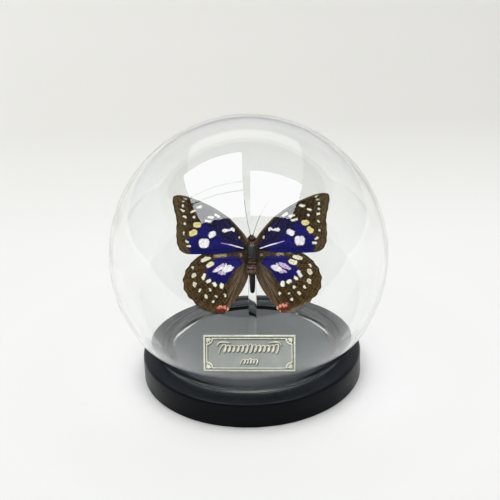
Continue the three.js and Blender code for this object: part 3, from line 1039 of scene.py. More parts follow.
# %% Scale colours
BROWN_INNER = (27, 18, 9)
BROWN_OUTER = (97, 84, 59)
BROWN_EDGE = (42, 32, 24)
OCHRE = (132, 101, 48)
BLUE_DEEP = (7, 6, 93)
BLUE_VIOLET = (40, 33, 126)
NAVY = (20, 20, 50)
BLACK_SCALES = (9, 7, 9)
WHITE_SCALES = (254, 253, 255)
YELLOW_SCALES = (238, 226, 168)
YELLOW_MIDDLE = (214, 194, 112)
CREAM_SCALES = (253, 249, 228)
LILAC_SCALES = (220, 198, 236)
RED_SCALES = (206, 124, 108)
RED_DARK = (104, 36, 28)
DULL_YELLOW = (206, 188, 138)
ROSE_SCALES = (250, 214, 200)
ORANGE_SCALES = (236, 190, 150)
RUST_SCALES = (104, 66, 38)
TUFT_HAIRS = (190, 176, 150)
FOLD_FUR = (98, 84, 72)
FOLD_LIGHT = (148, 130, 104)
FOLD_SHADE = (24, 17, 12)


def linear(colour):
    """A colour from its sRGB values of 0 to 255, as the linear values that a mesh keeps."""
    return np.array(shade(*colour)[:3])


def keep_colours(piece, colours):
    """Gives every point of a mesh its colour, under the name that the finishes read."""
    layer = piece.data.color_attributes.new("scale_colour", "FLOAT_COLOR", "POINT")
    rgba = np.column_stack([colours, np.ones(len(colours))]).astype(np.float32)
    layer.data.foreach_set("color", rgba.ravel())


# %% Painting point by point
def part_of(line, places):
    """Some points of a line, as a stroke without width."""
    return [(x, y, 0) for x, y in line[places]]


class Coat:
    """The colour of every point of a piece, painted over step by step."""

    def __init__(self, points, ground):
        self.points = points
        self.colour = np.tile(linear(ground), (len(points), 1))

    def tint(self, colour, share):
        """Mixes a colour in by a share from 0 to 1."""
        share = np.broadcast_to(share, len(self.points))[:, None]
        self.colour = self.colour * (1 - share) + linear(colour) * share

    def darken(self, share):
        """Takes a share of the colour's light away."""
        self.colour = self.colour * (1 - np.broadcast_to(share, len(self.points)))[:, None]

    def marks(self, colour, strokes, softness=0.5, rough=0.2, rim=None, flush=None):
        """Brush strokes with ragged edges and, where asked, a dark rim and a second colour."""
        ragged = rough * (ripple(self.points, 1.5, 5) + 0.7 * ripple(self.points, 0.8, 6))
        for stroke in strokes:
            distance = stroke_distance(self.points, stroke) + ragged
            if rim:
                self.tint(rim, cover(distance - 0.5, 0.9) * 0.8)
            self.tint(colour, cover(distance, softness))
            if flush:
                cloud = np.clip(0.35 + 0.6 * ripple(self.points, 1.7, 8), 0, 1)
                self.tint(flush, cover(distance + 0.2, 0.5) * cloud * 0.5)

    def flecks(self, light, dark, where=1.0):
        """Small light and dark flecks, as scales rub off and vary."""
        fleck = ripple(self.points, 1.9, 41) + ripple(self.points, 1.05, 42)
        self.tint(light, np.clip(1.6 * fleck - 0.3, 0, 1) * 0.62 * where)
        self.tint(dark, np.clip(-1.6 * fleck - 0.2, 0, 1) * 0.75 * where)

    def streaks(self, rays, light, dark, where=1.0):
        """Fine lines that run out from the root, along the wing's folds."""
        self.tint(light, np.clip(rays, 0, 1) * 0.7 * where)
        self.tint(dark, np.clip(-rays, 0, 1) * 0.75 * where)


# %% Areas of a forewing
FOREWING_BLUE = [
    (34.2, 6.9), (32.6, -2), (7.2, -1.6), (4.4, 1.6), (6.5, 6.6), (9.5, 12), (13, 16),
    (17.5, 17.4), (23.5, 16.6), (26.6, 14.6), (28.6, 11.6), (30.2, 8.2),
]
FOREWING_NAVY = [
    (4, 1.8), (9, 1.9), (15, 5.6), (18.6, 10.8), (23, 12.6), (24.6, 16.6), (17.5, 17.8),
    (12.4, 16.4), (8.8, 12), (6, 6.6),
]
# Painted sheen: the blue's iridescence as seen from the front, brighter and deeper in these areas.
FOREWING_PAINTED_SHEEN = [(9, 2.4, 0.1), (14, 3.6, 0.5), (20, 4.4, 1.0), (23.5, 2, 0.6)]
FOREWING_SHEEN_DEEP = [(6, -2), (33, -2), (33, 4.5), (24, 8.6), (17, 6.5)]
# Painted shade in the hollow where the wing meets the body.
FOREWING_ROOT_SHADE = [(2, 1.2, 1.3), (5, 0.6, 1.1), (8.5, 0.3, 0.5)]
FOREWING_ROOT_HAIR = [(1, 3.4, 1.6), (2.6, 4.6, 1.1), (4, 7, 0.7)]
FOREWING_OUTER = slice(480, 840, 12)
FOREWING_FRONT = slice(10, 470, 16)

# %% Marks of the forewings
FOREWING_WHITE = {
    "left": [
        [(26.5, 5.1, 1.75), (26.4, 3.7, 1.7), (24.8, 3.7, 1.7), (24.6, 5.1, 1.8)],
        [(21.6, 8.6, 1.5), (20.6, 9.4, 1.45)],
        [(14.5, 10.9, 0.98), (11.9, 11.2, 0.34), (10.1, 12, 0.6), (9.7, 11, 0.7)],
        [(36.4, 24.5, 0.62)], [(37.3, 22.4, 0.35), (36.1, 21.8, 0.55)],
        [(36, 18.9, 0.48), (35, 18.5, 0.52)], [(35.5, 14.9, 0.6)],
        [(30.6, 18.4, 0.66)], [(32, 21.1, 0.42), (30.5, 21.7, 0.6)],
        [(28.8, 23.5, 0.45), (27, 24, 0.62)],
        [(35.1, 5.8, 0.45), (34.1, 5.1, 0.5)], [(34.3, 3, 0.48), (33, 3, 0.48)],
        [(6.7, 7.1, 0.36)],
    ],
    "right": [
        [(24.6, 5.9, 1.6), (24.8, 4.3, 1.7), (26.4, 4.2, 1.7), (26.6, 5.7, 1.7)],
        [(20.1, 9.9, 1.4), (21.4, 9.2, 1.5)],
        [(14.1, 11, 0.98), (11.4, 11.1, 0.3), (9.9, 12, 0.56), (9.5, 11, 0.62)],
        [(36.1, 24.6, 0.62)], [(36.1, 21.9, 0.62)], [(35.2, 19, 0.48), (36.1, 19.3, 0.52)],
        [(35.5, 15.4, 0.48), (36.1, 14.8, 0.4)], [(36.2, 10.6, 0.5), (36.2, 10.1, 0.36)],
        [(30.4, 18.6, 0.66)], [(30.3, 21.7, 0.5), (31.5, 21.3, 0.6)],
        [(26, 23.9, 0.48), (27.4, 23.5, 0.66), (28.6, 23.7, 0.36)],
        [(34.1, 5.8, 0.45), (35.2, 6.5, 0.56)], [(32.7, 3.7, 0.56), (34.3, 3.7, 0.5)],
        [(6.5, 7.4, 0.46), (6.2, 6.7, 0.34)],
    ],
}
FOREWING_FAINT = {
    "left": [[(35.7, 28.4, 0.28), (34.7, 28.3, 0.3)], [(36.4, 26.9, 0.28), (35.4, 26.8, 0.32)],
             [(36.2, 10.4, 0.4), (36.3, 9.3, 0.3)]],
    "right": [[(34.4, 28.5, 0.4), (35.2, 28.6, 0.36)], [(35.1, 26.8, 0.42), (35.9, 26.8, 0.36)]],
}
FOREWING_CREAM = {
    "left": [[(24.3, 16.5, 0.5), (22, 15.8, 0.6)], [(23, 18.3, 0.5), (20.7, 18.1, 0.58)],
             [(19.2, 19.6, 0.5), (17.4, 18.5, 0.58)]],
    "right": [[(21.8, 15.9, 0.6), (24.1, 16.5, 0.6)], [(20.5, 18.1, 0.6), (22.7, 18.6, 0.6)],
              [(17.1, 18.6, 0.62), (18.8, 19.5, 0.72)]],
}
FOREWING_YELLOW = {
    "left": [[(29.7, 14.3, 1.35), (28.2, 14.3, 1.35)], [(31.9, 9.7, 1.45), (30.6, 10.3, 1.55)]],
    "right": [[(27.9, 14.7, 1.25), (29.3, 14.6, 1.4)], [(30.8, 11.3, 1.25), (31.6, 10.4, 1.45)]],
}
FOREWING_STREAK = {
    "left": [(16.2, 4.3, 0.1), (11.7, 3.4, 0.2), (8.1, 2.3, 0.26), (4.7, 1.3, 0.14)],
    "right": [(17.4, 4.9, 0.1), (13.5, 3.8, 0.2), (9.9, 2.9, 0.28), (4.4, 1.1, 0.16)],
}
print(len(FOREWING_WHITE["left"]), "white marks on the left,",
      len(FOREWING_WHITE["right"]), "on the right")


def shrunk(strokes, amount):
    """The same strokes, narrower by an amount on each side."""
    return [[(x, y, max(r - amount, 0.12)) for x, y, r in stroke] for stroke in strokes]


# %% Forewing coat
def forewing_coat(points, rays, side):
    """Colours of a forewing's upper side, and each point's distance to a vein."""
    # Brown ground: paler in a band inside the margin, flecked and finely streaked.
    coat = Coat(points, BROWN_INNER)
    from_margin = stroke_distance(points, part_of(forewing_margin, FOREWING_OUTER))
    veins = vein_distance(points, FOREWING_VEINS)
    coat.tint(BROWN_OUTER, cover(from_margin - 4.4, 4.0) * 0.6)
    coat.tint(BROWN_OUTER, cover(from_margin - 9, 6) * (0.2 + 0.3 * ripple(points, 5, 11)))
    coat.flecks(OCHRE, BLACK_SCALES, 0.9)
    coat.streaks(rays, BROWN_OUTER, BLACK_SCALES, 0.5)
    coat.tint(BROWN_OUTER, cover(veins - 0.1, 0.3) * cover(from_margin - 10, 4) * 0.5)
    coat.tint(BROWN_EDGE, cover(from_margin - 0.4, 0.7) * 0.8)
    # Blue field with painted sheen: deeper towards the hindwing, a violet gleam, navy in front.
    blue_edge = area_distance(points, FOREWING_BLUE) + 0.5 * ripple(points, 2.4, 12)
    blue = cover(blue_edge, 1.6)
    coat.tint(BLUE_VIOLET, blue)
    depth = cover(area_distance(points, FOREWING_SHEEN_DEEP), 7)
    coat.tint(BLUE_DEEP, blue * (0.45 + 0.5 * depth))
    coat.tint(BLUE_VIOLET, blue * cover(stroke_distance(points, FOREWING_PAINTED_SHEEN), 3) * 0.75)
    navy = cover(area_distance(points, FOREWING_NAVY) + 0.5 * ripple(points, 3, 13), 4)
    coat.tint(NAVY, navy * 0.7)
    coat.tint(BLACK_SCALES, navy * 0.3 * (1 + ripple(points, 2.2, 14)))
    coat.streaks(rays, BLUE_VIOLET, BLACK_SCALES, blue * 0.6)
    coat.flecks(BLUE_VIOLET, NAVY, blue * 0.65)
    coat.flecks(FOLD_FUR, BLACK_SCALES, navy * 0.45)
    coat.tint(BLACK_SCALES, cover(veins - VEIN_HALF_WIDTH, 0.35) * 0.55 * blue)
    coat.darken(0.12 * cover(veins - 0.8, 1.4) * blue)
    # Root and front edge: painted shade in the hollow by the body, pale hair and the brown front
    # vein.
    coat.tint(BLACK_SCALES, cover(stroke_distance(points, FOREWING_ROOT_SHADE), 1.6) * 0.92)
    hairs = cover(stroke_distance(points, FOREWING_ROOT_HAIR), 2)
    coat.tint(FOLD_FUR, hairs * np.clip(0.6 + rays, 0, 1) * 0.8)
    costa = stroke_distance(points, part_of(forewing_margin, FOREWING_FRONT))
    coat.tint(BLACK_SCALES, cover(np.abs(costa - 1.5) - 0.35, 0.9) * 0.5)
    coat.tint(BROWN_OUTER, cover(costa - 0.75, 0.7) * 0.95)
    coat.tint(BROWN_EDGE, cover(costa - 0.15, 0.3) * 0.6)
    # Marks between the veins.
    coat.marks(YELLOW_SCALES, FOREWING_YELLOW[side], rim=BLACK_SCALES)
    coat.marks(YELLOW_MIDDLE, shrunk(FOREWING_YELLOW[side], 0.75), softness=1.3)
    coat.marks(CREAM_SCALES, FOREWING_CREAM[side], rim=BLACK_SCALES)
    coat.marks(WHITE_SCALES, FOREWING_WHITE[side][:3], rim=BLACK_SCALES, flush=LILAC_SCALES)
    coat.marks(CREAM_SCALES, FOREWING_WHITE[side][3:], rim=BLACK_SCALES)
    coat.marks(BROWN_OUTER, FOREWING_FAINT[side], softness=0.6)
    coat.marks(CREAM_SCALES, shrunk(FOREWING_FAINT[side], 0.1), softness=0.5)
    coat.marks(LILAC_SCALES, [FOREWING_STREAK[side]], softness=0.45, rough=0.03)
    coat.marks(WHITE_SCALES, [FOREWING_STREAK[side][1:]], softness=0.2, rough=0.03)
    return coat.colour, veins


# %% Areas of a hindwing
HINDWING_BLUE = [
    (5.6, -4.6), (10, -3), (17.5, -3.2), (20.6, -5.4), (24.2, -9.6), (24.6, -12.6),
    (21.4, -16.6), (15.5, -18.4), (13.9, -16.5), (11.2, -12.5), (8.4, -9.2), (5.4, -7.2),
]
HINDWING_FOLD = [(0, -4), (6, -6.4), (9, -11.5), (12, -19.5), (14.6, -33), (9, -34), (-1, -18)]
HINDWING_COSTA = [(0, -4.6), (6, -3.4), (14, -2), (20.5, -2.8), (22, 2), (0, 2)]
HINDWING_RUST = [(8, -23, 1.5), (11, -28, 1.5)]
HINDWING_DEPTH = [(13, -14, 3), (19, -13, 4), (22, -12, 2)]
HINDWING_NAVY = [(6, -5.5, 1), (16, -5.5, 1)]
HINDWING_OUTER = slice(280, 860, 12)

# %% Marks of the hindwings
HINDWING_WHITE = {
    "left": [
        [(14.5, -10, 1.6), (12.4, -9.3, 1.8), (10.4, -9, 0.5)],
        [(14, -7.2, 0.3), (14, -8, 0.45)],
        [(20.3, -11, 0.3), (18.3, -10.1, 0.75), (16.2, -9.1, 0.6)],
        [(25.7, -12.6, 0.8), (26.3, -14.3, 0.85)], [(24, -16.2, 0.78), (23, -15.8, 0.92)],
        [(20.5, -17.5, 0.92), (19.8, -18.2, 0.8)], [(16.5, -18.2, 1.02), (16.5, -19.2, 0.98)],
    ],
    "right": [
        [(10.9, -8.9, 0.8), (12.9, -9.5, 1.65), (14.6, -10.2, 1.35)],
        [(13.3, -7.3, 0.36), (13.4, -8.2, 0.55)],
        [(24.8, -11.7, 0.78), (25.9, -13.9, 0.88)], [(23, -14.8, 0.78), (23.8, -15.5, 0.78)],
        [(19.3, -17.1, 0.98), (20.2, -16.6, 0.88)], [(16.2, -17.7, 1.12), (16.1, -18.7, 1.02)],
    ],
}
HINDWING_LILAC = {
    "left": [[(21, -11, 0.2), (18, -9, 0.95), (15.3, -7.4, 0.7)],
             [(17.8, -11.6, 0.5), (16.2, -11.8, 0.95), (14.8, -12, 0.7)]],
    "right": [[(14.9, -7.3, 0.7), (17.2, -8.4, 1.25), (20, -9.9, 0.7)],
              [(15.2, -11.8, 0.6), (16.7, -11.2, 0.85), (18.1, -11.7, 0.4)]],
}
HINDWING_TUFTS = {
    "left": [[(14.2, -2.2, 0.5), (17, -2.4, 0.7), (19.6, -2.5, 0.5)], [(5.9, -2.2, 0.55)]],
    "right": [[(13.6, -1.9, 0.6), (16.3, -1.8, 0.6)], [(19, -1.2, 0.5), (21.4, -1.3, 0.4)],
              [(5, -2.3, 0.55)]],
}
HINDWING_CREAM = {
    "left": [
        [(26.5, -4.9, 0.95), (24.5, -3.9, 1.15), (22.7, -3.7, 0.6)],
        [(23.5, -7.8, 1.05), (22.2, -7, 1.3), (21.5, -6.6, 1.1)],
        [(28, -20.5, 0.55), (28.5, -21.3, 0.42)], [(21.2, -27.1, 0.64)],
        [(22.8, -20.4, 0.5), (22.5, -21.1, 0.46)], [(19.9, -23.9, 0.38), (19.2, -24.4, 0.38)],
        [(14.9, -23.2, 0.46), (14.6, -24.5, 0.36)], [(32, -8.2, 0.5), (31.8, -8.9, 0.4)],
    ],
    "right": [
        [(22.8, -3.6, 0.95), (24.6, -4, 1.2), (26.1, -4.4, 0.85)],
        [(20.7, -6.1, 1.15), (22.5, -6.8, 1.3), (23.5, -6.5, 0.8)],
        [(27.7, -19.6, 0.56), (28.2, -20.3, 0.46)], [(21, -26.4, 0.78)],
        [(22.3, -19.9, 0.76)], [(19.6, -23.3, 0.56)], [(14.6, -23.2, 0.7)],
        [(30.8, -7.9, 0.5), (31.3, -8.8, 0.46)],
    ],
}
HINDWING_YELLOW = {
    "left": [[(31, -12.5, 1), (31.7, -13.2, 0.75)], [(30.9, -17.5, 1.1), (31, -18.3, 0.7)],
             [(25, -24, 0.78), (24.8, -24.5, 0.7)]],
    "right": [[(30.5, -11.2, 1.1), (31.1, -12.4, 1)], [(30.3, -16.5, 1.05), (30.5, -17.5, 0.85)],
              [(24.8, -22.9, 0.8), (25.2, -23.4, 0.78)]],
}
HINDWING_RED = {
    "left": [[(18.3, -30.4, 0.8), (17.4, -29.6, 0.75), (16.4, -30.4, 0.5), (15.2, -30.2, 1.0),
              (14.6, -30.9, 0.7)]],
    "right": [[(14.8, -30, 0.9), (16.1, -29.3, 0.8), (16.9, -30.1, 0.7), (18.1, -29.4, 0.9)]],
}
HINDWING_RED_UNDER = [(19, -32.2, 0.7), (16.5, -32, 0.8), (13.6, -31.9, 0.6)]
HINDWING_CORNER = {
    "left": [[(13.4, -31.2, 0.55)], [(14, -33, 0.4)]],
    "right": [[(13.2, -30.9, 0.6)], [(14.6, -32.9, 0.35)]],
}
print(len(HINDWING_WHITE["left"]), "white marks on the left,",
      len(HINDWING_WHITE["right"]), "on the right")


# %% Hindwing coat
def hindwing_coat(points, rays, side):
    """Colours of a hindwing's upper side, and each point's distance to a vein."""
    # Brown ground with a dark margin, and the furry folds beside the abdomen and in front.
    coat = Coat(points, BROWN_INNER)
    from_margin = stroke_distance(points, part_of(hindwing_margin, HINDWING_OUTER))
    veins = vein_distance(points, HINDWING_VEINS)
    coat.tint(BROWN_OUTER, 0.24 + 0.2 * ripple(points, 5, 21))
    coat.tint(BROWN_OUTER, cover(from_margin - 2.6, 3.0) * 0.4)
    coat.flecks(OCHRE, BLACK_SCALES, 0.9)
    coat.streaks(rays, OCHRE, BLACK_SCALES, 0.7)
    coat.tint(BROWN_EDGE, cover(from_margin - 0.4, 0.8) * 0.9)
    fold = cover(area_distance(points, HINDWING_FOLD), 3.2)
    coat.tint(FOLD_FUR, fold * 0.62)
    coat.tint(FOLD_FUR, cover(area_distance(points, HINDWING_COSTA), 1.4) * 0.5)
    coat.streaks(rays * 2.2, FOLD_LIGHT, FOLD_SHADE, fold)
    coat.tint(RUST_SCALES, cover(stroke_distance(points, HINDWING_RUST), 4) * 0.45)
    # Blue field, deepest in its outer part.
    blue_edge = area_distance(points, HINDWING_BLUE) + 0.4 * ripple(points, 2.2, 22)
    blue = cover(blue_edge, 2.0)
    coat.tint(BLUE_VIOLET, blue * 0.92)
    depth = cover(stroke_distance(points, HINDWING_DEPTH), 5)
    coat.tint(BLUE_DEEP, blue * (0.25 + 0.7 * depth))
    coat.tint(NAVY, blue * cover(stroke_distance(points, HINDWING_NAVY), 4) * 0.4)
    coat.streaks(rays, BLUE_VIOLET, NAVY, blue * 0.6)
    coat.tint(BLACK_SCALES, cover(veins - VEIN_HALF_WIDTH, 0.35) * (0.22 + 0.35 * blue))
    coat.darken(0.1 * cover(veins - 0.8, 1.4))
    # Marks between the veins, and the red mark at the inner corner.
    coat.marks(CREAM_SCALES, HINDWING_CREAM[side], rim=BLACK_SCALES)
    coat.marks(YELLOW_SCALES, shrunk(HINDWING_CREAM[side][:2], 0.75), softness=1.0)
    coat.marks(CREAM_SCALES, HINDWING_YELLOW[side], rim=BLACK_SCALES)
    coat.marks(DULL_YELLOW, shrunk(HINDWING_YELLOW[side], 0.5), softness=1.0)
    coat.marks(LILAC_SCALES, HINDWING_LILAC[side], flush=BLUE_VIOLET)
    coat.marks(WHITE_SCALES, HINDWING_WHITE[side][:3], flush=LILAC_SCALES)
    coat.marks(CREAM_SCALES, HINDWING_WHITE[side][3:], rim=BLACK_SCALES, flush=WHITE_SCALES)
    coat.marks(TUFT_HAIRS, HINDWING_TUFTS[side], softness=1.2, rough=0.5)
    coat.marks(RED_DARK, [HINDWING_RED_UNDER], softness=1.6, rough=0.4)
    coat.marks(RED_SCALES, shrunk(HINDWING_RED[side], 0.12), softness=0.7, rough=0.4,
               rim=RED_DARK, flush=ROSE_SCALES)
    coat.marks(ORANGE_SCALES, HINDWING_CORNER[side], softness=0.6, rough=0.3)
    return coat.colour, veins


# %% [markdown]
# ## Building a wing
#
# The membrane is slightly pleated between its veins, which is what keeps a real wing stiff. The
# forewings lie over the hindwings, and the hindwings' inner margins bend back beside the abdomen.

# %% From grid to wing
WING_RISE = 0.07
FOREWING_LEVEL = 0.9
HINDWING_LEVEL = 0.0
FOLD_DROP = 1.3
FOLD_START = 3.2
FOLD_WIDTH = 2.5
MEMBRANE = 0.16
MEMBRANE_DEPTH = 0.25
VEIN_RIDGE = 0.09
RIDGE_WIDTH = 0.22
PLEAT_DEPTH = 0.07
PLEAT_WIDTH = 2.0
WING_COLUMNS = 330
WING_ROWS = 130


def forewing_height(x):
    """How high a forewing lies at a distance from the body."""
    return FOREWING_LEVEL + WING_RISE * x


def hindwing_height(x):
    """The same for a hindwing, whose inner margin bends down beside the abdomen."""
    fold = FOLD_DROP * np.exp(-(x - FOLD_START) / FOLD_WIDTH)
    return HINDWING_LEVEL + WING_RISE * x - fold


print("forewing's tip lies", round(forewing_height(forewing_margin[:, 0].max()), 1), "mm high")


# %% Points of a mesh
def mesh_points(piece):
    """All points of a mesh, as rows of x, y and z."""
    flat = np.empty(len(piece.data.vertices) * 3, dtype=np.float32)
    piece.data.vertices.foreach_get("co", flat)
    return flat.reshape(-1, 3).astype(float)


def move_points(piece, places):
    """Gives all points of a mesh new places."""
    piece.data.vertices.foreach_set("co", places.astype(np.float32).ravel())
    piece.data.update()


# %% One wing
def fan_points(share, root, margin):
    """Flat places between the root and the margin, from shares of 0 to 1 along both."""
    at = share[:, 0] * (len(margin) - 1)
    end = np.stack([np.interp(at, np.arange(len(margin)), margin[:, k]) for k in (0, 1)], axis=1)
    return np.array(root) + (end - np.array(root)) * share[:, 1:2]


def make_wing(name, side, root, margin, height, coat):
    """A closed, coloured wing in its place, from a flat grid."""
    deselect_all()
    bpy.ops.mesh.primitive_grid_add(x_subdivisions=WING_COLUMNS, y_subdivisions=WING_ROWS, size=2)
    wing = named(name)
    share = (mesh_points(wing)[:, :2] + 1) / 2
    points = fan_points(share, root, margin)
    fan = np.column_stack([share[:, 0] * 100, share[:, 1] * 1.5])
    rays = ripple(fan, 1.6, 31) * 0.6 + ripple(fan, 0.8, 32) * 0.6
    colour, veins = coat(points, rays, "left" if side < 0 else "right")
    ridge = VEIN_RIDGE * np.exp(-((veins / RIDGE_WIDTH) ** 2))
    pleat = -PLEAT_DEPTH * np.clip(veins / PLEAT_WIDTH, 0, 1) + 0.02 * ripple(points, 4, 33)
    z = height(points[:, 0]) - MEMBRANE_DEPTH + ridge + pleat
    move_points(wing, place_specimen(np.column_stack([side * points[:, 0], points[:, 1], z])))
    keep_colours(wing, colour)
    merge_points(wing, 0.002)
    face_towards(wing, wing_normal)
    for scales in (upper_scales, under_scales):
        wing.data.materials.append(scales.material)
    modify(wing, "SOLIDIFY", thickness=MEMBRANE * MM, offset=0, material_offset=1)
    smooth(wing, 50)
    return wing


# %% [markdown]
# ## Scales as a finish
#
# Wing scales are tiny overlapping tiles, each one flat colour, so a wing is never perfectly even:
# it sparkles slightly and its colour varies from scale to scale. Fine noise on the colour and a
# low bump give that. The under side is the same pattern in paler, duller scales.

# %% Scale finishes
UNDER_PALE = (150, 140, 112)
SCALE_DARK = (0.62, 0.62, 0.64, 1)
SCALE_LIGHT = (1.5, 1.48, 1.4, 1)
WORN_DARK = (0.72, 0.7, 0.68, 1)
WORN_LIGHT = (1.16, 1.15, 1.13, 1)


def scale_finish(name, pale):
    """Wing scales in the colours that the wing's points keep."""
    finish = Finish(name, Specular_IOR_Level=0.08)
    colour = finish.attribute("scale_colour")
    if pale:
        colour = finish.mix(0.55, colour, shade(*UNDER_PALE))
    tiles = finish.noise(0.22, detail=2, roughness=0.7)
    lighter = finish.mix(finish.spread(tiles, 0.3, 0.75), SCALE_DARK, SCALE_LIGHT)
    flecked = finish.mix(1.0, colour, lighter, blend="MULTIPLY")
    clouds = finish.spread(finish.noise(1.1, detail=3, roughness=0.7), 0.3, 0.7)
    uneven = finish.mix(clouds, WORN_DARK, WORN_LIGHT)
    worn = finish.mix(1.0, flecked, uneven, blend="MULTIPLY")
    finish.set(
        Base_Color=worn,
        Roughness=finish.spread(finish.noise(2.5), 0.3, 0.7, 0.48, 0.66),
    )
    finish.bump(tiles, 0.03, 0.6)
    return finish


upper_scales = scale_finish("upper_wing_scales", pale=False)
under_scales = scale_finish("under_wing_scales", pale=True)
for side_name, side in (("left", -1), ("right", 1)):
    for kind, root, margin, height, coat in (
        ("forewing", FOREWING_ROOT, forewing_margin, forewing_height, forewing_coat),
        ("hindwing", HINDWING_ROOT, hindwing_margin, hindwing_height, hindwing_coat),
    ):
        name = f"{side_name}_{kind}"
        wing = make_wing(name, side, root, margin, height, coat)
        stand_for(wing, name)

# %% [markdown]
# ## The body
#
# Head, thorax and abdomen are one grown piece. Its shape is a row of oval sections along the body,
# so a fine sphere is added and its rings are moved to those sections: wide and furry at the
# thorax, narrow behind the head, and banded along the abdomen. Each section is a place along the
# body, a half width and a half depth. Eyes, feelers at the mouth and legs are joined to it.

# %% Sections of the body
TAIL = -23
NOSE = 8.4
BODY_SECTIONS = [
    (-23, 0.05, 0.05), (-22.7, 0.8, 0.85), (-21.4, 1.3, 1.35), (-17.5, 1.6, 1.7),
    (-14, 1.7, 1.85), (-12.8, 1.9, 2.0), (-11.8, 2.6, 2.3), (-9.4, 2.8, 2.5), (-7.6, 2.6, 2.35),
    (-6.8, 2.2, 2.15), (-5.8, 2.4, 2.4), (-3.6, 2.6, 2.8), (-1, 2.7, 3.1), (1.4, 2.6, 3),
    (3.2, 2, 2.4), (4.2, 1.35, 1.5), (5, 1.7, 1.5), (6.2, 1.85, 1.65), (7.4, 1.5, 1.3),
    (8.1, 0.8, 0.7), (8.4, 0.05, 0.05),
]
print("body:", round(NOSE - TAIL, 1), "mm long")

# %% Places on the body
WAIST = -6.8
BAND_LENGTH = 1.75
BAND_SWELL = 0.045
CREASE = 0.08


def body_section(y):
    """Half width and half depth of the body at places along it."""
    sections = smooth_line(BODY_SECTIONS, 400)
    return [np.interp(y, sections[:, 0], sections[:, k]) for k in (1, 2)]


def body_places(ball):
    """Places on the body for the points of a round ball."""
    y = TAIL + (NOSE - TAIL) * np.arccos(np.clip(-ball[:, 2], -1, 1)) / math.pi
    half_width, half_depth = body_section(y)
    angle = np.arctan2(ball[:, 1], ball[:, 0])
    swell = 1 - BAND_SWELL * cover(y - WAIST, 0.8) * bands(y)
    crease = 1 - CREASE * (1 - np.clip(np.abs(y - WAIST) / 0.7, 0, 1))
    x = half_width * np.cos(angle) * swell * crease
    z = half_depth * np.sin(angle) * swell * crease
    return np.column_stack([x, y, z])


def bands(y):
    """The rings of the abdomen, as a wave along the body."""
    return np.cos(2 * math.pi * (y - WAIST) / BAND_LENGTH)


# %% Colours of the body
THORAX_BROWN = (24, 17, 13)
HEAD_BROWN = (30, 19, 16)
COLLAR_RED = (112, 54, 42)
SHIELD_GREY = (50, 53, 53)
SHIELD_SEAM = (26, 25, 26)
WAIST_RED = (62, 34, 28)
WAIST_PALE = (118, 88, 74)
WAIST_DARK = (6, 4, 3)
ABDOMEN_BROWN = (96, 68, 56)
RING_DARK = (14, 8, 6)
TAIL_BLACK = (6, 5, 5)
TAIL_SIDES = (70, 60, 54)
FLECK_PALE = (150, 126, 104)
FLECK_DARK = (9, 7, 6)


def body_coat(places):
    """Colours of the body: head, collar, the thorax's grey shield, ringed abdomen, dark tail."""
    x, y, z = places.T
    coat = Coat(places, THORAX_BROWN)
    coat.tint(HEAD_BROWN, cover(4.4 - y, 0.8))
    coat.tint(COLLAR_RED, cover(np.abs(y - 4.6) - 0.5, 0.9) * 0.7)
    shield = cover(np.hypot(x / 2.4, (y + 0.3) / 3.7) - 1, 0.4) * (z > 0)
    coat.tint(SHIELD_GREY, shield)
    coat.tint(SHIELD_SEAM, cover(np.abs(np.abs(x) - 1.05) - 0.1, 0.35) * shield * 0.7)
    coat.tint(WAIST_RED, cover(np.abs(y + 5.3) - 0.9, 0.8) * 0.9)
    coat.tint(ABDOMEN_BROWN, cover(np.abs(y + 9.6) - 2.6, 0.8))
    tail = cover(y + 12.4, 1.0)
    coat.tint(TAIL_BLACK, tail)
    coat.tint(RING_DARK, cover(y - WAIST, 0.8) * cover(0.6 - bands(y), 0.6) * 0.95)
    coat.flecks(FLECK_PALE, FLECK_DARK, 0.7 * (1 - 0.8 * np.maximum(shield, tail)))
    coat.tint(WAIST_PALE, cover(np.abs(y + 6.3) - 0.35, 0.4) * 0.8)
    coat.tint(WAIST_DARK, cover(np.abs(y + 7.3) - 0.4, 0.4))
    coat.tint(TAIL_SIDES, cover(y + 12.6, 1.4) * cover(0.9 - np.abs(x), 0.5) * 0.2)
    return coat.colour


# %% The body without its limbs
deselect_all()
bpy.ops.mesh.primitive_uv_sphere_add(segments=72, ring_count=220, radius=1)
body = named("body")
places = body_places(mesh_points(body))
move_points(body, place_specimen(places))
keep_colours(body, body_coat(places))
print("body sections:", triangles(body), "triangles")

# %% [markdown]
# ### Limbs
#
# Legs, mouth feelers and antennae are thin round stalks. A curve through a few points with its own
# radius at every point is the quickest way to draw one, and it is turned into a mesh afterwards.
# The plate's raised lines are drawn with the same helper later on.

# %% Stalks from curves
def round_line(name, places, radii, resolution, closed=False):
    """A round line through places in the scene, with its own radius in millimetres at each."""
    curve = bpy.data.curves.new(name, "CURVE")
    curve.dimensions = "3D"
    curve.bevel_depth = 1
    curve.bevel_resolution = resolution
    curve.use_fill_caps = True
    spline = curve.splines.new("POLY")
    spline.points.add(len(places) - 1)
    for point, place, radius in zip(spline.points, places, radii):
        point.co = (*place, 1)
        point.radius = radius * MM
    spline.use_cyclic_u = closed
    piece = bpy.data.objects.new(name, curve)
    scene.collection.objects.link(piece)
    activate(piece)
    bpy.ops.object.convert(target="MESH")
    return bpy.context.object


def stalk(name, points, resolution=3):
    """A round stalk through (x, y, z, radius) points of the specimen's frame."""
    line = smooth_line(points, 6 * len(points))
    return round_line(name, place_specimen(line[:, :3]), line[:, 3], resolution)


def flat_colour(piece, colour):
    """Gives every point of a piece one colour."""
    keep_colours(piece, np.tile(linear(colour), (len(piece.data.vertices), 1)))


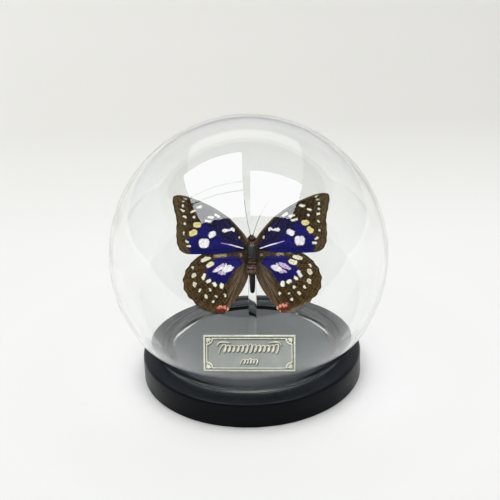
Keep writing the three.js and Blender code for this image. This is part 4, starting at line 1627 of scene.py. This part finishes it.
# %% Eyes, mouth feelers and legs
EYE_RADIUS = 1.1
EYE_PLACE = (1.4, 6.5, 0.75)
EYE_FLATNESS = 0.86
EYE_RED = (56, 22, 18)
FEELER_BROWN = (52, 38, 32)
LEG_BROWN = (66, 50, 38)
FEELERS = [(0.5, 7.6, 0.3, 0.42), (0.62, 8.3, 0.75, 0.36), (0.66, 8.6, 1.1, 0.16)]
MIDDLE_LEG = [
    (1.3, 2.2, -1.6, 0.34), (3.5, 3.2, -3.6, 0.33), (4.2, -0.5, -4.7, 0.24),
    (3.7, -5, -4.9, 0.2), (3.4, -8.5, -4.75, 0.12),
]
HIND_LEG = [
    (1.5, -1, -1.8, 0.34), (4, -0.2, -3.8, 0.33), (5.7, -2.6, -4.8, 0.25),
    (5.4, -8, -5.05, 0.2), (4.6, -12.3, -4.85, 0.12),
]
parts = []
for side in (-1, 1):
    deselect_all()
    eye_at = place_specimen(np.array([[side * EYE_PLACE[0], *EYE_PLACE[1:]]]))[0]
    bpy.ops.mesh.primitive_ico_sphere_add(subdivisions=4, radius=EYE_RADIUS * MM, location=eye_at)
    eye = named("eye")
    bpy.ops.transform.resize(value=(EYE_FLATNESS, 1.0, 1.0))
    put_in_place(eye)
    flat_colour(eye, EYE_RED)
    parts.append(eye)
    for points, colour in (
        (FEELERS, FEELER_BROWN), (MIDDLE_LEG, LEG_BROWN), (HIND_LEG, LEG_BROWN),
    ):
        limb = stalk("limb", [(side * x, y, z, r) for x, y, z, r in points])
        flat_colour(limb, colour)
        parts.append(limb)
print(len(parts), "eyes and limbs")

# %% [markdown]
# ### Fur
#
# Thorax, head and abdomen are covered with fine hairs that lie back along the body, longest at the
# thorax's sides. Each hair is a spike with three narrow sides. They are all made in one mesh, since
# thousands of separate objects would be slow, and their places are drawn with a fixed seed so that
# the fur is the same every time.

# %% Hairs
HAIR_WIDTH = 0.05
HAIR_BEND = 0.12


def fur(name, roots, directions, lengths, colours):
    """A mesh of three-sided hairs, each bent a little towards its tip."""
    draw = np.random.default_rng(7)
    points, faces, shades = [], [], []
    for root, direction, length, colour in zip(roots, directions, lengths, colours):
        direction = direction / np.linalg.norm(direction)
        across = np.cross(direction, draw.normal(size=3))
        across /= np.linalg.norm(across)
        third = np.cross(direction, across)
        bend = draw.normal(size=3) * HAIR_BEND * length
        start = len(points)
        for height, width in ((0, 1.0), (0.55, 0.7)):
            centre = root + direction * length * height + bend * height**2
            for turn in range(3):
                angle = 2 * math.pi * turn / 3
                outwards = across * math.cos(angle) + third * math.sin(angle)
                points.append(centre + HAIR_WIDTH * width * outwards)
        points.append(root + direction * length + bend)
        for turn in range(3):
            after = (turn + 1) % 3
            faces.append((start + turn, start + after, start + 3 + after, start + 3 + turn))
            faces.append((start + 3 + turn, start + 3 + after, start + 6))
        faces.append((start + 2, start + 1, start))
        shades.extend([colour] * 7)
    mesh = bpy.data.meshes.new(name)
    mesh.from_pydata(place_specimen(np.array(points)).tolist(), [], faces)
    piece = bpy.data.objects.new(name, mesh)
    scene.collection.objects.link(piece)
    keep_colours(piece, np.array(shades))
    return piece


# %% One kind of fur
HAIR_SCATTER = 0.28
THORAX_FUR = (64, 49, 36)
ABDOMEN_FUR = (108, 82, 68)
HEAD_FUR = (84, 52, 40)
PALE_TUFT = (206, 190, 160)


def fur_from(y, angle, reach, colour, outward_share, draw):
    """Hairs that grow from given places round the body and lie back along it."""
    wide, deep = body_section(y)
    outward = np.column_stack([np.cos(angle), np.zeros(len(y)), np.sin(angle)])
    roots = np.column_stack([wide * np.cos(angle), y, deep * np.sin(angle)]) * [0.95, 1, 0.95]
    lie = np.where(y > 4, 0.9, -0.9)
    directions = outward * outward_share + np.column_stack([0 * y, lie, 0 * y])
    directions += draw.normal(size=directions.shape) * HAIR_SCATTER
    lengths = reach * draw.uniform(0.6, 1.2, len(y))
    colours = linear(colour) * draw.uniform(0.1, 1.8, len(y))[:, None]
    return roots, directions, lengths, colours


# %% Fur on the body
HAIRS = 3600


def body_fur(count):
    """Short fur all over, long hairs at the thorax's sides and a pale tuft behind the head."""
    draw = np.random.default_rng(3)
    # The shield on the thorax is bare, so nearly all hairs that would grow on it are left out.
    places = draw.uniform(-5.6, 4, int(count * 0.5))
    round_it = draw.uniform(0, 2 * math.pi, len(places))
    on_top = (np.abs(np.cos(round_it)) < 0.86) & (np.sin(round_it) > 0)
    bare = on_top & (np.abs(places + 0.3) < 3.7)
    kept = ~bare | (draw.uniform(0, 1, len(places)) < 0.06)
    side = draw.uniform(-0.35, 0.5, int(count * 0.3))
    side = np.where(draw.uniform(0, 1, len(side)) < 0.5, side, math.pi - side)
    abdomen = draw.uniform(-13, -6, int(count * 0.14))
    head = draw.uniform(4, 8.1, int(count * 0.1))
    tuft = draw.uniform(2.9, 4.1, int(count * 0.05))
    groups = [
        fur_from(places[kept], round_it[kept], 1.2, THORAX_FUR, 0.75, draw),
        fur_from(draw.uniform(-4.5, 4.2, len(side)), side, 2.3, THORAX_FUR, 1.3, draw),
        fur_from(abdomen, draw.uniform(0, 2 * math.pi, len(abdomen)), 0.6, ABDOMEN_FUR, 0.4, draw),
        fur_from(head, draw.uniform(0, 2 * math.pi, len(head)), 0.55, HEAD_FUR, 0.75, draw),
        fur_from(tuft, draw.uniform(0.9, 2.2, len(tuft)), 0.9, PALE_TUFT, 0.5, draw),
    ]
    return fur("fur", *(np.concatenate(column) for column in zip(*groups)))


hair = body_fur(HAIRS)
print("fur:", triangles(hair), "triangles")
join(body, [*parts, hair])
smooth(body, 60)

# %% [markdown]
# ### Finish of the body and the antennae
#
# The body's skin, hair, eyes and legs are all chitin, a horny matter with a weak, soft gloss. So
# one finish serves them: it reads the colour that each point keeps and varies it with fine noise.
# The antennae are chitin too, ringed dark and pale, which a noise squeezed along their length
# gives.

# %% Chitin
CHITIN_DARK = (0.7, 0.7, 0.7, 1)
CHITIN_LIGHT = (1.3, 1.28, 1.25, 1)
chitin = Finish("insect_body", Specular_IOR_Level=0.22)
chitin_noise = chitin.noise(0.5, detail=4, roughness=0.65)
chitin_colour = chitin.mix(chitin.spread(chitin_noise, 0.3, 0.7), CHITIN_DARK, CHITIN_LIGHT)
chitin.set(
    Base_Color=chitin.mix(1.0, chitin.attribute("scale_colour"), chitin_colour, "MULTIPLY"),
    Roughness=chitin.spread(chitin_noise, 0.3, 0.7, 0.36, 0.6),
)
chitin.bump(chitin_noise, 0.06, 0.7)
chitin.paint(body)
stand_for(body, "body")

# %% Antennae
ANTENNAE = {
    "left_antenna": [
        (-0.7, 8.2, 0.9, 0.17), (-1.3, 11.8, 1.4, 0.14), (-2.1, 15.3, 1.8, 0.13),
        (-2.9, 21.2, 2.3, 0.13), (-3.5, 25.4, 2.55, 0.15), (-3.6, 26.7, 2.6, 0.19),
        (-3.62, 27.15, 2.62, 0.1),
    ],
    "right_antenna": [
        (0.7, 8.2, 0.9, 0.17), (2.4, 13, 1.4, 0.14), (4.1, 17.4, 1.8, 0.13),
        (6.6, 22, 2.25, 0.13), (8.8, 25.6, 2.55, 0.15), (9.4, 26.5, 2.6, 0.19),
        (9.5, 26.75, 2.62, 0.1),
    ],
}
ANTENNA_DARK = (48, 42, 38)
ANTENNA_PALE = (104, 96, 88)
antenna_finish = Finish("antenna", Specular_IOR_Level=0.35, Roughness=0.55)
rings = antenna_finish.noise(0.45, detail=1, scale=(0.2, 1, 1))
ringed = antenna_finish.spread(rings, 0.4, 0.6)
antenna_finish.set(
    Base_Color=antenna_finish.mix(ringed, shade(*ANTENNA_DARK), shade(*ANTENNA_PALE)),
)
for name, points in ANTENNAE.items():
    antenna = stalk(name, points, resolution=4)
    smooth(antenna, 60)
    antenna_finish.paint(antenna)
    stand_for(antenna, name)

# %% [markdown]
# ## The nameplate
#
# A strip of thin metal, bent once: the short end lies on the base as a foot and the long end leans
# back as the plate. A plate like this is cast or struck with its border, its corner leaves and its
# flourish standing up from the face, then darkened with a patina and rubbed bright on the high
# parts. So the drawing comes first: it is used twice, for the raised lines and for the patina and
# the painted shadow beside them. It is a list of lines in the plate's own flat measures, with x
# along the plate and y up it.

# %% Lines of the drawing
PLATE_WIDTH = 50
PLATE_HEIGHT = 20
BORDER = 0.55
INNER_LINE = 1.95
NOTCH = 3.1
LEAF_LENGTH = 2.8
SLANT = 0.36
OUTER_HALF_WIDTH = 0.5
INNER_HALF_WIDTH = 0.34
PEN_THIN = 0.19
PEN_PRESSURE = 0.24


def arc(centre, radius, start, end):
    """Points on an arc, from one angle in degrees to another."""
    turns = np.radians(np.linspace(start, end, 13))
    return [(centre[0] + radius * math.cos(t), centre[1] + radius * math.sin(t)) for t in turns]


def running_loops(start, end, loops, level, tall, wide):
    """A penman's running loops, thick where the pen comes down."""
    share = np.linspace(0, 1, 26 * loops)
    turn = 2 * math.pi * loops * share
    ends = np.exp(-((share / 0.07) ** 2)) + np.exp(-(((share - 1) / 0.07) ** 2))
    middle = np.exp(-(((share - 0.5) / 0.09) ** 2))
    rise = -tall * (1 + 0.55 * ends + 0.45 * middle) * np.cos(turn)
    x = start + (end - start) * share - wide * np.sin(turn) + SLANT * rise
    half_width = PEN_THIN + PEN_PRESSURE * np.clip(-np.sin(turn), 0, 1)
    return np.column_stack([x, level + rise]), half_width


def swelling(knots, thin, thick, count=24):
    """A stroke that is thick in the middle and thin at both ends."""
    swell = np.sin(np.linspace(0, math.pi, count)) ** 1.3
    return smooth_line(knots, count), thin + (thick - thin) * swell


# %% Border, loops and leaves
half, top = PLATE_WIDTH / 2, PLATE_HEIGHT
outer_border = [
    (-half + BORDER, BORDER), (half - BORDER, BORDER),
    (half - BORDER, top - BORDER), (-half + BORDER, top - BORDER),
]
left, right_edge = -half + INNER_LINE, half - INNER_LINE
low, high = INNER_LINE, top - INNER_LINE
inner_border = (
    arc((left, low), NOTCH, 90, 0)
    + arc((right_edge, low), NOTCH, 180, 90)
    + arc((right_edge, high), NOTCH, 270, 180)
    + arc((left, high), NOTCH, 0, -90)
)
closed_lines = [(outer_border, OUTER_HALF_WIDTH), (inner_border, INNER_HALF_WIDTH)]
open_lines = [
    running_loops(-15.4, 15.4, 13, 12.6, 1.7, 0.85),
    running_loops(-4.2, 4.2, 5, 5.6, 1.1, 0.55),
]
for side in (-1, 1):
    flourish = [(side * 17.4, 14.2), (side * 16.2, 15.9), (side * 13.4, 16.1), (side * 10.6, 15.6)]
    open_lines.append(swelling(flourish, 0.14, 0.36))
for corner_x, corner_y, first in (
    (left, low, 0), (right_edge, low, 90), (right_edge, high, 180), (left, high, 270),
):
    for spread_by in (12, 45, 78):
        turn = math.radians(first + spread_by)
        way = np.array([math.cos(turn), math.sin(turn)])
        start = np.array([corner_x, corner_y]) - 0.2 * way
        knots = [tuple(start + LEAF_LENGTH * part * way) for part in (0, 0.35, 0.7, 1)]
        open_lines.append(swelling(knots, 0.16, 0.48, 12))
print(len(open_lines), "strokes and", len(closed_lines), "border lines")

# %% [markdown]
# ### Satin metal
#
# The strip is satin metal, brushed along its length. A metal's colour is the colour of its
# reflection, so the shader is metallic, its colour varies a little, and the brushing is a
# stretched bump. The face also carries a dark patina and a painted shadow of the raised lines,
# which its points keep as a colour. The back is bare.

# %% Satin metal
FIELD_METAL = (136, 138, 130)
FOOT_METAL = (120, 122, 116)
CLOUD_DARK = (0.86, 0.87, 0.86, 1)
CLOUD_LIGHT = (1.12, 1.1, 1.1, 1)


def satin_metal(name, patina_and_shadow_on_it):
    """Brushed metal, with the colours that the points keep or with one colour."""
    metal = Finish(name, Metallic=0.75)
    cloudy = metal.spread(metal.noise(6, detail=4), 0.3, 0.7)
    uneven = metal.mix(cloudy, CLOUD_DARK, CLOUD_LIGHT)
    colour = metal.attribute("scale_colour") if patina_and_shadow_on_it else shade(*FOOT_METAL)
    metal.set(
        Base_Color=metal.mix(1.0, colour, uneven, "MULTIPLY"),
        Roughness=metal.spread(metal.noise(4, detail=4), 0.3, 0.7, 0.45, 0.58),
    )
    metal.bump(metal.noise(0.5, detail=3, scale=(0.06, 1, 1)), 0.02, 0.35)
    return metal.material


# %% [markdown]
# ### The bent strip, its patina and its painted shadow
#
# The strip is a fine flat grid. Its points are laid along the bend, Solidify gives it the sheet's
# thickness, and a bevel breaks its edges. Before that, every point gets its dark colour: patina in
# the groove between the two border lines, and a painted shadow just below and to the right of each
# raised line.

# %% Patina and painted shadow beside the lines
# Painted shadow beside the raised lines, shifted down and to the right, and patina between the
# borders.
PATINA_AND_SHADOW = (14, 11, 6)
SHADOW_SHIFT = np.array([0.34, -0.4])
PATINA_LINE = 1.32


def patina_and_shadow(points):
    """Share of dark patina and painted shadow at (x, y) points of the plate's face."""
    to_edge = np.minimum(half - np.abs(points[:, 0]), np.minimum(points[:, 1], top - points[:, 1]))
    dark = cover(np.abs(to_edge - PATINA_LINE) - 0.2, 0.35)
    moved = points - SHADOW_SHIFT
    around = [(x, y, INNER_HALF_WIDTH) for x, y in [*inner_border, inner_border[0]]]
    dark = np.maximum(dark, 0.95 * cover(stroke_distance(moved, around) - 0.2, 0.5))
    for line, widths in open_lines:
        near = stroke_distance(moved, list(np.column_stack([line, widths])))
        dark = np.maximum(dark, cover(near - 0.24, 0.45))
    return dark


# %% Bent strip
PLATE_FOOT = 9
PLATE_LEAN = math.radians(25)
PLATE_TURN = math.radians(-3.9)
PLATE_PLACE = (-1.7, -27.6, 14.9)
plate_frame = Matrix.Translation(Vector(PLATE_PLACE) * MM) @ Matrix.Rotation(PLATE_TURN, 4, "Z")
strip_steps = np.array([
    -PLATE_FOOT, -6, -3, -1.6, -0.001, 0.001, *np.arange(0.25, PLATE_HEIGHT, 0.25), PLATE_HEIGHT,
])
last_row = len(strip_steps) - 1

deselect_all()
bpy.ops.mesh.primitive_grid_add(x_subdivisions=200, y_subdivisions=last_row, size=2)
plate = named("nameplate")
grid = mesh_points(plate)
distance = strip_steps[np.rint((grid[:, 1] + 1) / 2 * last_row).astype(int)]
on_face = np.column_stack([grid[:, 0] * half, distance])
leaning = np.maximum(distance, 0)
back_from_bend = leaning * math.sin(PLATE_LEAN) + np.maximum(-distance, 0)
strip = np.column_stack([on_face[:, 0], back_from_bend, leaning * math.cos(PLATE_LEAN)])
move_points(plate, strip * MM)
metal_coat = Coat(on_face, FIELD_METAL)
metal_coat.tint(FOOT_METAL, distance < 0)
# Painted shadow of the raised lines, with the patina between the border lines.
metal_coat.tint(PATINA_AND_SHADOW, patina_and_shadow(on_face))
keep_colours(plate, metal_coat.colour)
print("strip:", len(strip), "points in", last_row + 1, "rows")

# %% Thickness and edges
PLATE_THICKNESS = 0.8
PLATE_EDGE = 0.14
plate.matrix_world = plate_frame
put_in_place(plate)
merge_points(plate, 0.02)
face_way = plate_frame.to_3x3() @ Vector((0, -math.cos(PLATE_LEAN), math.sin(PLATE_LEAN)))
face_towards(plate, face_way)
plate.data.materials.append(satin_metal("satin_metal", patina_and_shadow_on_it=True))
plate.data.materials.append(satin_metal("bare_metal", patina_and_shadow_on_it=False))
modify(
    plate, "SOLIDIFY", thickness=PLATE_THICKNESS * MM, offset=-1, use_even_offset=True,
    material_offset=1,
)
modify(
    plate, "BEVEL", width=PLATE_EDGE * MM, segments=3, limit_method="ANGLE",
    angle_limit=math.radians(35),
)
smooth(plate, 30)
stand_for(plate, "nameplate")

# %% [markdown]
# ### Raised lines
#
# Each line of the drawing becomes a thin rod that is half sunk in the face, flattened a little so
# that it stands up only a third of a millimetre. All of them are joined to one piece and laid on
# the leaning face.

# %% Raised lines
RELIEF_FLATNESS = 0.75


def raised_line(points, half_width, closed=False):
    """A thin flattened rod along a line of the drawing."""
    places = [(x * MM, y * MM, 0) for x, y in points]
    widths = np.broadcast_to(half_width, len(points))
    piece = round_line("raised_line", places, widths, 2, closed)
    for vertex in piece.data.vertices:
        vertex.co.z *= RELIEF_FLATNESS
    return piece


first, *others = [
    *(raised_line(points, width, closed=True) for points, width in closed_lines),
    *(raised_line(points, widths) for points, widths in open_lines),
]
join(first, others)
ornament = named("plate_relief")
ornament.matrix_world = plate_frame @ Matrix.Rotation(math.pi / 2 - PLATE_LEAN, 4, "X")
put_in_place(ornament)
smooth(ornament, 50)
print(len(others) + 1, "raised lines in one piece")

# %% [markdown]
# ### Pale gold
#
# The raised work has the pale gold of worn plating, brighter and smoother than the field behind
# it, since a polishing cloth reaches it. Worn plating isn't all metal: dust and lacquer on it
# scatter light, so the shader is only partly metallic.

# %% Pale gold
GOLD_WORN = (206, 200, 168)
GOLD_BRIGHT = (250, 248, 226)
gold = Finish("pale_gold", Metallic=0.55)
wear = gold.noise(1.6, detail=4)
gold.set(
    Base_Color=gold.mix(gold.spread(wear, 0.35, 0.65), shade(*GOLD_WORN), shade(*GOLD_BRIGHT)),
    Roughness=gold.spread(wear, 0.3, 0.7, 0.3, 0.45),
)
gold.paint(ornament)
stand_for(ornament, "nameplate")
